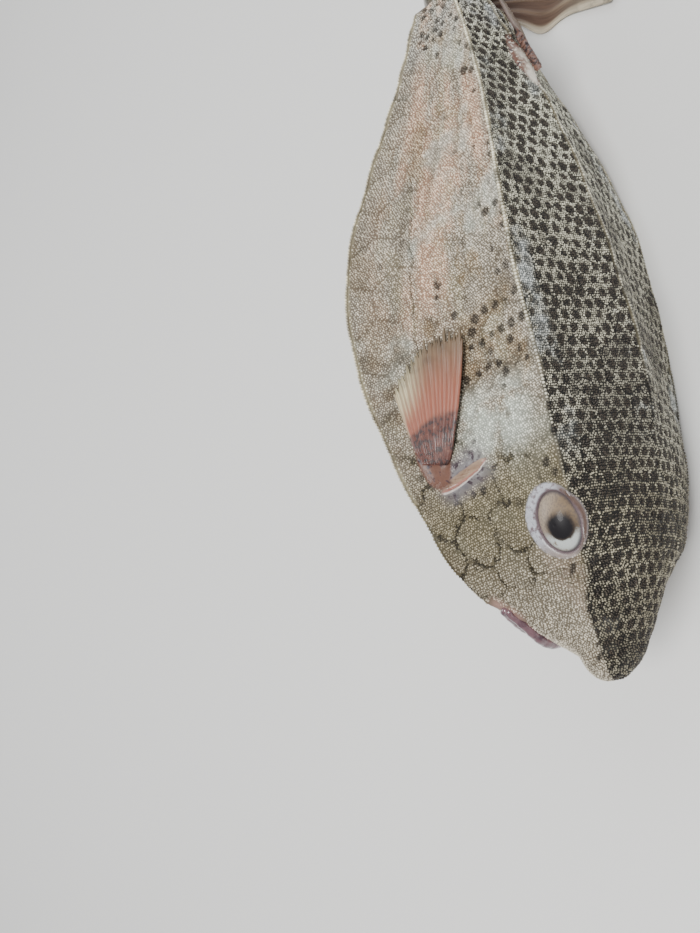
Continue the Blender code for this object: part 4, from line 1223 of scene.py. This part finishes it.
def hexNetGroup():      # regular six-sided cells: way from the cell's middle, the cell, depth from its edge
    tree, given, made = newGroup("hexNet", {"Place": "Vector", "Size": "Float"},
                                 {"Offset": "Vector", "Cell": "Vector", "Edge": "Float"})
    size = given["Size"]
    p = given["Place"] * (1.0, 1.0, 0.0) * (1.0 / size)
    half, low = (0.5, math.sqrt(0.75), 0.0), (-0.5, -math.sqrt(0.75), 0.0)
    a, b = calc("WRAP", p, half, low), calc("WRAP", p - half, half, low)
    nearer = calc("LESS_THAN", calc("LENGTH", a), calc("LENGTH", b))
    middle = a * nearer + b * (1.0 - nearer)
    away = calc("ABSOLUTE", middle)
    reach = most(calc("DOT_PRODUCT", away, half), parts(away)[0])
    put(made["Offset"], middle * size)
    put(made["Cell"], p - middle)
    put(made["Edge"], (0.5 - reach) * size)
    return tree


def spotGroup(hexNet):      # dark spots, one to a cell, jittered; Share says how many cells hold one
    tree, given, made = newGroup(
        "bodySpots", {"Place": "Vector", "Size": "Float", "Radius": "Float", "Share": "Float"}, {"Spot": "Float"})
    place, size = given["Place"], given["Size"]
    cells = useGroup(tree, hexNet, Place=place, Size=size)
    node = tree.nodes.new("ShaderNodeTexWhiteNoise")        # the same draw all over a cell
    put(node.inputs["Vector"], calc("SNAP", cells["Cell"] + (0.25, 0.43, 0.0), (0.5, 0.866, 1.0)))
    draw, colour = Wire(node.outputs["Value"]), Wire(node.outputs["Color"])
    jitter = (colour - (0.5, 0.5, 0.5)) * (1.0, 1.0, 0.0) * (size * 0.34)
    wobble, _ = noise(place, 3.4, 2.0)
    reach = (calc("LENGTH", cells["Offset"] - jitter) + (size * 0.5 - cells["Edge"])) * 0.5
    reach = reach + (wobble - 0.5) * 0.34
    depth = given["Radius"] * (0.74 + draw * 0.52) - reach
    there = ramp(given["Share"] - parts(colour)[2], -0.04, 0.04)
    put(made["Spot"], ramp(depth, -0.07, 0.09) * there)
    return tree


shellTones = {      # the ground between the grains, and the grains
    "flank": ((0.150, 0.126, 0.094), (0.605, 0.555, 0.455)),
    "blush": ((0.31, 0.185, 0.122), (0.82, 0.62, 0.455)),
    "olive": ((0.076, 0.064, 0.032), (0.295, 0.252, 0.165)),
    "belly": ((0.29, 0.25, 0.185), (0.60, 0.55, 0.445)),
    "back": ((0.018, 0.016, 0.012), (0.49, 0.465, 0.365)),
    "backHead": ((0.018, 0.016, 0.011), (0.395, 0.36, 0.26)),
    "backRear": ((0.060, 0.058, 0.042), (0.74, 0.73, 0.59)),
    "spot": ((0.003, 0.0024, 0.002), (0.038, 0.029, 0.022)),
    # dusky clouds, and also painted shade along the flank folds and above the belly keel
    "dusky": ((0.060, 0.047, 0.031), (0.205, 0.170, 0.12)),
    "worn": ((0.17, 0.185, 0.185), (0.66, 0.69, 0.68)),
    "pale": ((0.32, 0.34, 0.29), (0.66, 0.69, 0.62)),
    "rearGrey": ((0.15, 0.14, 0.12), (0.58, 0.57, 0.50)),
    # the suture tone also paints the shade line of the long flank crease
    "suture": ((0.020, 0.016, 0.009), (0.095, 0.080, 0.046)),
    "crest": ((0.34, 0.30, 0.20), (0.82, 0.78, 0.62)),
    "ring": ((0.42, 0.43, 0.475), (0.44, 0.45, 0.49)),
    "ringDark": ((0.13, 0.095, 0.105), (0.16, 0.12, 0.13)),
    "ringBack": ((0.10, 0.062, 0.05), (0.16, 0.11, 0.09)),
    "ringSnout": ((0.25, 0.195, 0.165), (0.29, 0.23, 0.20)),
    "gillSkin": ((0.20, 0.185, 0.20), (0.27, 0.25, 0.26)),
    "blotch": ((0.035, 0.022, 0.030), (0.06, 0.04, 0.045)),
    "gillInside": ((0.36, 0.17, 0.14), (0.36, 0.17, 0.14)),
    "gillFlap": ((0.34, 0.25, 0.18), (0.34, 0.25, 0.18)),
    "gillEdge": ((0.56, 0.50, 0.46), (0.56, 0.50, 0.46)),
    "mouthSkin": ((0.34, 0.20, 0.17), (0.40, 0.25, 0.21)),
    "finBase": ((0.14, 0.066, 0.046), (0.17, 0.085, 0.06)),
    "cream": ((0.60, 0.55, 0.47), (0.68, 0.63, 0.56)),
    "wet": ((0.055, 0.043, 0.026), (0.08, 0.06, 0.04)),
    "wetPale": ((0.26, 0.22, 0.15), (0.30, 0.26, 0.19)),
    "stain": ((0.135, 0.088, 0.046), (0.42, 0.32, 0.20)),
    "underEye": ((0.24, 0.185, 0.145), (0.54, 0.46, 0.38)),
    "yellow": ((0.215, 0.185, 0.105), (0.68, 0.63, 0.455)),
}


def markingsGroup(hexNet, spots):
    tree, _, made = newGroup("shellMarkings", {}, {"Ground": "Color", "Grain": "Color", "Wet": "Float",
                                                   "Suture": "Float"})
    q, t, folds = parts(attribute(tree, "place"))
    eyeAway, mouthX, mouthY = parts(attribute(tree, "headPlace"))
    gillX, gillY, gillNear = parts(attribute(tree, "gillPlace"))
    padSide, padBack, padBelly = parts(attribute(tree, "padPlace"))
    ridge, keel, arc = parts(attribute(tree, "lines"))
    place = objectPlace(tree)
    coarse, coarseColour = noise(place, 42.0, 4.0)
    middling, middlingColour = noise(place, 120.0, 4.0, 0.6)
    fine, _ = noise(place, 420.0, 3.0, 0.6)
    tones = list(shellTones["flank"])       # ground and grain, as laid so far

    def lay(mask, word):
        tones[:] = [mixed(mask, below, tone) for below, tone in zip(tones, shellTones[word])]

    ragged = ridge + (middling - 0.5) * 5.0
    noseEdge = 5.0 + ramp(t, 33.0, 6.0) * 2.5       # the dark back widens to the snout
    noseAway = q + (middling - 0.5) - noseEdge
    onBack = most(ramp(ragged, 0.9, -0.9), ramp(noseAway, 0.3, -0.3) * ramp(t, 36.0, 33.0))
    onFlank = 1.0 - onBack
    streaks, _ = noise(joined(t * 0.022, q * 0.55), 1.0, 4.0, 0.6)
    middleFlank = ramp(t, 96.0, 120.0) * ramp(q, 11.8, 9.5)
    lay(ramp(streaks, 0.42, 0.60) * (middleFlank * 0.95), "blush")
    lay(ramp(parts(coarseColour)[1], 0.52, 0.64) * 0.6, "pale")
    lay(ramp(t, 76.0, 50.0) * 0.9, "olive")
    lay(ramp(t, 46.0, 18.0) * (ramp(q, 5.8, 7.4) * 0.8), "flank")
    # painted shade: the flank darkens along its soft folds
    lay(ramp(folds, 0.25, 1.0) * 0.42, "dusky")
    lay(ramp(keel, 0.5, 3.5), "belly")
    # painted shade: a dark band on the flank just above the belly keel, broken up by coarse noise
    lay(ramp(keel, -12.0, -2.0) * ramp(keel, 1.0, -1.0) * (ramp(coarse, 0.42, 0.60) * 0.34), "dusky")
    bend = (t - 131.0) / 28.0       # painted shade line along the long crease high on the flank, laid in the suture tone
    crease = q - (9.28 + 0.34 * (bend * bend)) + (middling - 0.5) * 0.8
    crease = band(crease, 0.0, 0.085) * (ramp(t, 92.0, 106.0) * ramp(t, 166.0, 150.0))
    lay(crease * (ramp(fine, 0.34, 0.52) * 0.7), "suture")
    fore = ramp(t, 60.0, 76.0) * ramp(t, 128.0, 100.0)
    clouds = ramp(parts(middlingColour)[2], 0.46, 0.60)
    lay(clouds * ((0.14 + fore * 0.62) * ramp(keel, 1.5, -1.0)), "dusky")
    stains, stainColour = noise(place * (58.0, 100.0, 100.0), 1.0, 4.0, 0.62)
    openFlank = ramp(t, 62.0, 80.0) * ramp(keel, 1.0, -1.0) * (0.45 + ramp(q, 10.8, 9.2) * 0.55)
    lay(openFlank * (ramp(parts(stainColour)[1], 0.50, 0.66) * 0.40), "yellow")
    lay(openFlank * (ramp(stains, 0.52, 0.66) * 0.68), "stain")
    besideFin = band(t, 93.0, 17.0) * band(q, 6.9, 2.6)
    lay(besideFin * (ramp(middling, 0.40, 0.56) * 0.62), "stain")
    white = band(t, 71.0, 15.0) * band(q, 7.4, 2.4)
    lay(white * ramp(middling, 0.30, 0.55), "pale")

    net = attribute(tree, "net") + (middlingColour - (0.5, 0.5, 0.5)) * (0.9 + ramp(t, 76.0, 60.0) * 0.9)
    plates = useGroup(tree, hexNet, Place=net, Size=plateSize)
    cheek = ramp(t, 76.0, 66.0) * ramp(t, 22.0, 34.0) * ramp(q, 5.8, 6.8)
    suture = ramp(plates["Edge"], 0.13, 0.045) * (cheek * 0.85 + (1.0 - middleFlank) * 0.36)
    suture = suture * (ramp(fine, 0.34, 0.56) * (onFlank * (1.0 - white)))
    suture = suture * (ramp(t, 18.0, 30.0) * ramp(q, 15.5, 13.0))
    suture = suture * ramp(parts(middlingColour)[1], 0.34, 0.46)
    lay(suture, "suture")

    underEye = band(t, 25.0, 15.0) * band(q, 6.3, 1.5)
    lay(underEye * (ramp(fine, 0.30, 0.52) * 0.48), "underEye")
    lay(onBack, "back")
    lay(onBack * ramp(t, 62.0, 40.0), "backHead")
    lay(onBack * (ramp(t, 30.0, 12.0) * 0.45), "spot")
    lay(onBack * ramp(t, 96.0, 176.0), "backRear")
    lay(onBack * (ramp(parts(coarseColour)[2], 0.50, 0.60) * 0.45), "spot")
    lay(ramp(t, 192.0, 214.0) * ramp(middling, 0.36, 0.56), "rearGrey")
    wornNear = most(band(arc, 0.0, 7.5), band(ridge, -2.5, 6.5))
    worn = ramp(parts(coarseColour)[0], 0.50, 0.60) * wornNear * ramp(t, 50.0, 72.0)
    worn = worn * ramp(middling, 0.36, 0.56)
    lay(worn * (0.35 + onBack * 0.5), "worn")

    gillZone = band(gillY, 0.5, 13.0) * band(gillX, 0.0, 2.0) * gillNear
    above = band(t, 66.0, 12.0) * band(q, 7.6, 1.3)
    share = most(onBack, ramp(ridge, 11.0, 1.0) * 0.32, gillZone * 0.5, above * 0.42,
                 ramp(coarse, 0.55, 0.62) * 0.045, besideFin * 0.50, ramp(t, 196.0, 214.0) * 0.75)
    share = share * ramp(q, 11.6, 10.8)
    netPlace = attribute(tree, "spotPlace")
    ring = parts(netPlace)[2]
    swell = (spotNet["radius"] + (middling - 0.5) * 0.16) * (0.84 + onBack * 0.16)
    dots = useGroup(tree, spots, Place=netPlace, Size=1.0, Radius=swell, Share=share)
    spotted = dots["Spot"] * ramp(t, 232.0, 222.0) * ramp(ring, 0.98, 1.04) * (1.0 - worn * 0.45)
    lay(spotted * (0.80 + onBack * 0.17), "spot")

    broken = 0.35 + ramp(middling, 0.40, 0.56) * 0.65
    lay(band(ridge, 0.0, 1.2) * (ramp(t, 72.0, 96.0) * broken), "crest")
    lay(band(keel, 0.0, 1.4) * (ramp(t, 40.0, 62.0) * (broken * 0.8)), "crest")
    lay(band(arc, 0.0, 0.9) * (ramp(t, 70.0, 90.0) * (broken * 0.45)), "crest")

    ringMask = most(ramp(ring, 1.02, 0.95), ramp(eyeAway, 1.09, 1.03))
    lay(ringMask, "ring")
    lay(ringMask * ramp(fine, 0.50, 0.66), "ringDark")
    lay(ringMask * (ramp(t, 38.0, 31.0) * 0.85), "ringSnout")
    lay(ringMask * ramp(q, 5.75, 5.1), "ringBack")
    lay(ramp(eyeAway, 1.03, 0.96), "ringDark")
    beside = band(gillY, -0.5, 8.0) * band(gillX, 0.0, 1.55) * gillNear
    lay(beside * 0.75, "gillSkin")
    lay(beside * ramp(fine, 0.52, 0.62), "blotch")
    inside = ramp(calc("LENGTH", joined(gillX, gillY / gill["halfWidth"])), 1.18, 0.98) * gillNear
    lay(inside, "gillInside")
    lay(inside * ramp(gillY, 0.1, -0.5), "gillFlap")
    rimPlace = gill["rimAhead"] * calc("SQRT", most(1.0 - 0.8 * (gillX * gillX), 0.05))
    rimLine = band(gillY - rimPlace, -0.30, 0.45) * (ramp(calc("ABSOLUTE", gillX), 1.12, 0.95) * gillNear)
    lay(rimLine, "gillEdge")
    lay(ramp(mouthX, 1.12, 0.98) * band(mouthY, 0.0, 5.0) * 0.8, "mouthSkin")

    base = most(*(ramp(pad, 1.08, 0.90) for pad in (padSide, padBack, padBelly)))
    lay(base, "finBase")
    lay(base * ramp(fine, 0.55, 0.64), "blotch")
    speckle, _ = noise(place, 1100.0, 2.0)
    lay(ramp(padBack, 1.08, 0.9) * ramp(speckle, 0.56, 0.66), "cream")
    front = ramp(padBack, 1.1, 0.9) * ramp(t, 196.0, 190.0) * ramp(arc, 3.4, 2.0)
    lay(front * ramp(middling, 0.36, 0.50), "cream")

    wet = ramp(t, 225.05, 225.6)        # the soft tail stalk
    lay(wet, "wet")
    mottle, _ = noise(place, 330.0, 4.0, 0.7)
    lay(wet * (ramp(mottle, 0.40, 0.74) * 0.75), "wetPale")

    shade = 0.66 + fine * 0.68
    put(made["Ground"], tones[0] * shade)
    put(made["Grain"], tones[1] * shade)
    put(made["Wet"], most(wet, base, beside, ringMask * 0.7))
    put(made["Suture"], suture)
    return tree


def newMaterial(name, **fixed):      # the shader's plain values by their sockets' names, spaces left out
    made = bpy.data.materials.new(name)
    made.use_nodes = True
    shader = made.node_tree.nodes["Principled BSDF"]
    for socket in shader.inputs:
        word = socket.name.replace(" ", "")
        if word in fixed:
            socket.default_value = fixed.pop(word)
    assert not fixed, fixed
    return made, made.node_tree, shader


def addBump(shader, height, strength, distance):
    node = shader.id_data.nodes.new("ShaderNodeBump")
    for word, value in (("Strength", strength), ("Distance", distance), ("Height", height)):
        put(node.inputs[word], value)
    put(shader.inputs["Normal"], Wire(node.outputs["Normal"]))


def skinMaterial(markings):
    made, tree, shader = newMaterial("shellSkin", CoatRoughness=0.15, SpecularIORLevel=0.30)
    marks = useGroup(tree, markings)
    put(shader.inputs["Base Color"], marks["Ground"])
    put(shader.inputs["Roughness"], 0.52 - marks["Wet"] * 0.18)
    put(shader.inputs["Coat Weight"], marks["Wet"] * 0.5)
    fine, _ = noise(objectPlace(tree), 1500.0, 3.0)
    addBump(shader, fine - marks["Suture"] * 2.0, 0.5, 0.0002)
    return made


def grainMaterial(markings):
    made, tree, shader = newMaterial("shellGrain", Roughness=0.34, SpecularIORLevel=0.24)
    marks = useGroup(tree, markings)
    lift, tone = (parts(attribute(tree, name))[0] for name in ("grainLift", "grainTone"))
    # partly the grains' own paler colour, partly painted light: each grain is lit at its top and shaded at its
    # foot, where it takes the dark ground colour
    colour = mixed(ramp(lift, 0.30, 1.0), marks["Ground"], marks["Grain"])
    # each grain's random brightness: partly its own tone, partly painted glints
    put(shader.inputs["Base Color"], colour * (0.60 + tone * 0.80))
    return made


finTones = {    # tones of the membrane, the rays, the pale margin and the fleshy base, and how far they go
    "pectoral": {
        "root": (0.19, 0.050, 0.033), "middle": (0.262, 0.080, 0.047), "tip": (0.130, 0.092, 0.055),
        "rayShare": 0.45, "ray": (0.40, 0.165, 0.100), "rayTip": (0.22, 0.175, 0.115),
        "margin": (0.36, 0.29, 0.18), "dark": 0.35, "lowTip": (0.66, 0.60, 0.38),
        "flesh": (0.112, 0.040, 0.030), "fleshReach": 0.33},
    "tail": {
        "root": (0.045, 0.026, 0.020), "middle": (0.095, 0.058, 0.042), "tip": (0.05, 0.04, 0.03),
        "rayShare": 0.5, "ray": (0.20, 0.14, 0.095), "rayTip": (0.25, 0.195, 0.135),
        "margin": (0.60, 0.53, 0.40), "dark": 0.6, "lowTip": (0.33, 0.265, 0.19),
        "flesh": (0.06, 0.045, 0.03), "fleshReach": 0.06},
    "back": {
        "root": (0.12, 0.080, 0.068), "middle": (0.17, 0.125, 0.11), "tip": (0.20, 0.155, 0.13),
        "rayShare": 0.7, "ray": (0.32, 0.25, 0.20), "rayTip": (0.34, 0.285, 0.23),
        "margin": (0.38, 0.32, 0.26), "dark": 0.4, "lowTip": (0.29, 0.235, 0.19),
        "flesh": (0.16, 0.085, 0.065), "fleshReach": 0.10},
}
darkTip, fleshDark, fleshPale = (0.02, 0.016, 0.012), (0.036, 0.020, 0.020), (0.20, 0.092, 0.062)


def finMaterial(name, tones):
    made, tree, shader = newMaterial(name, Roughness=0.34, CoatWeight=0.25, CoatRoughness=0.12)
    place = attribute(tree, "finPlace")
    x, y, ray = parts(place)
    spot, _ = noise(objectPlace(tree), 160.0, 3.0)
    membrane = mixed(ramp(y, 0.05, 0.45), tones["root"], tones["middle"])
    membrane = mixed(ramp(y, 0.45, 0.95), membrane, tones["tip"])
    rays = mixed(ramp(y, 0.4, 0.95), tones["ray"], tones["rayTip"])
    colour = mixed(ray * tones["rayShare"], membrane, rays)
    low = ramp(y, 0.40, 0.75) * ramp(x, 0.55, 0.10)
    colour = mixed(low * (0.35 + ray * 0.5), colour, tones["lowTip"])
    side = ramp(x, 0.045, 0.012) * ramp(y, 0.18, 0.40)
    colour = mixed(side * 0.75, colour, tones["margin"])
    dark = ramp(y, 0.55, 0.95) * ramp(spot, 0.45, 0.6) * tones["dark"]
    colour = mixed(dark, colour, darkTip)
    colour = mixed(ramp(y, 0.955, 0.995) * 0.7, colour, tones["margin"])
    meaty = ramp(y + (spot - 0.5) * 0.16, tones["fleshReach"] * 1.12, tones["fleshReach"] * 0.88)
    fine, _ = noise(objectPlace(tree), 620.0, 3.0, 0.6)
    flesh = mixed(ramp(fine, 0.49, 0.57), tones["flesh"], fleshDark)
    flesh = mixed(ramp(fine, 0.38, 0.30), flesh, fleshPale)
    colour = mixed(meaty, colour, flesh)
    streak, _ = noise(place * (110.0, 6.0, 0.0), 1.0, 3.0, 0.65)
    put(shader.inputs["Base Color"], colour * (0.45 + streak * 1.1))
    addBump(shader, streak, 0.35, 0.0002)
    return made


eyeTones = {
    "pupil": (0.012, 0.011, 0.013), "iris": (0.20, 0.145, 0.095), "irisPale": (0.33, 0.27, 0.21),
    "white": (0.50, 0.54, 0.53), "rim": (0.075, 0.065, 0.075),
    "pupilMiddle": (-0.09, -0.19),      # towards the tail and towards the belly, in the eye's half sizes
    "pupilShape": 1.35,
}


def eyeMaterial():
    made, tree, shader = newMaterial("eyeBall", Roughness=0.45, SpecularIORLevel=0.16, CoatWeight=0.07,
                                     CoatRoughness=0.04)
    place = attribute(tree, "eyePlace")
    x, y, _ = parts(place)
    cloud, _ = noise(place, 2.6, 4.0, 0.6)
    fine, _ = noise(place * (1.0, 1.0, 0.2), 14.0, 3.0)
    reach = calc("LENGTH", joined(x, y))
    pupilX, pupilY = eyeTones["pupilMiddle"]
    away = calc("LENGTH", joined((x - pupilX) * eyeTones["pupilShape"], y - pupilY)) + (cloud - 0.5) * 0.24
    colour = mixed(ramp(x * 0.6 + y, -0.10, 0.60) * 0.8, eyeTones["iris"], eyeTones["irisPale"])
    colour = mixed(ramp(fine, 0.45, 0.60) * 0.35, colour, eyeTones["rim"])
    colour = mixed(ramp(away, 0.80, 0.40), colour, eyeTones["pupil"])
    lowSide = x * -1.0 + (fine - 0.5) * 0.3
    crescent = ramp(away, 0.50, 0.60) * ramp(away, 1.25, 0.85) * ramp(lowSide, 0.16, 0.50)
    crescent = crescent * ramp(cloud, 0.30, 0.46)
    colour = mixed(crescent * 0.92, colour, eyeTones["white"])
    put(shader.inputs["Base Color"], mixed(ramp(reach, 0.82, 0.92) * 0.85, colour, eyeTones["rim"]))
    return made


lipTones = {"dark": (0.045, 0.022, 0.035), "pale": (0.16, 0.085, 0.10)}


def lipMaterial():
    made, tree, shader = newMaterial("lipFlesh", Roughness=0.25, CoatWeight=0.9, CoatRoughness=0.08)
    along, around, _ = parts(attribute(tree, "rodPlace"))
    blotch, _ = noise(objectPlace(tree), 260.0, 4.0, 0.6)
    fold, _ = noise(joined(along * 46.0, around * 3.0), 1.0, 2.0)
    colour = mixed(ramp(blotch, 0.35, 0.65), lipTones["dark"], lipTones["pale"])
    put(shader.inputs["Base Color"], colour)
    addBump(shader, fold, 0.5, 0.0003)
    return made


def finishPiece(piece, material=None, stands=()):      # the grains already have their material
    if material is not None:
        piece.data.materials.clear()
        piece.data.materials.append(material)
    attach(piece, bodyName)
    if stands:
        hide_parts(*stands)


hexNet = hexNetGroup()
markings = markingsGroup(hexNet, spotGroup(hexNet))
skinFinish, grainFinish = skinMaterial(markings), grainMaterial(markings)
body = makeSkin()
print("skin", len(body.data.polygons), "faces,", round(time.time() - startTime, 1), "s")
for piece in makeGrains(body, grainFinish):
    finishPiece(piece)
finishPiece(body, skinFinish, ("head", "trunk", "tail_stalk_front", "tail_stalk_rear"))
print("grains", round(time.time() - startTime, 1), "s")
lipFinish = lipMaterial()
for piece in makeLips():
    finishPiece(piece, lipFinish)
eyeFinish = eyeMaterial()
for name, node, side in (("eyeBallRight", "eye_right", 1.0), ("eyeBallLeft", "eye_left", -1.0)):
    finishPiece(makeEye(name, side), eyeFinish, (node,))
pectoralFinish = finMaterial("pectoralFinSkin", finTones["pectoral"])
for name, node, side in (("pectoralRight", "pectoral_fin_right", 1.0),
                         ("pectoralLeft", "pectoral_fin_left", -1.0)):
    finishPiece(makePectoral(name, side), pectoralFinish, (node,))
tailFinish = finMaterial("tailFinSkin", finTones["tail"])
finishPiece(makeTailFin("tailFan"), tailFinish, ("tail_fin",))
backFinFinish = finMaterial("backFinSkin", finTones["back"])
finishPiece(makeDorsalFin("dorsalFan"), backFinFinish, ("dorsal_fin",))
finishPiece(makeAnalFin("analFan"), backFinFinish, ("anal_fin",))
print("fins, eyes and lips", round(time.time() - startTime, 1), "s")
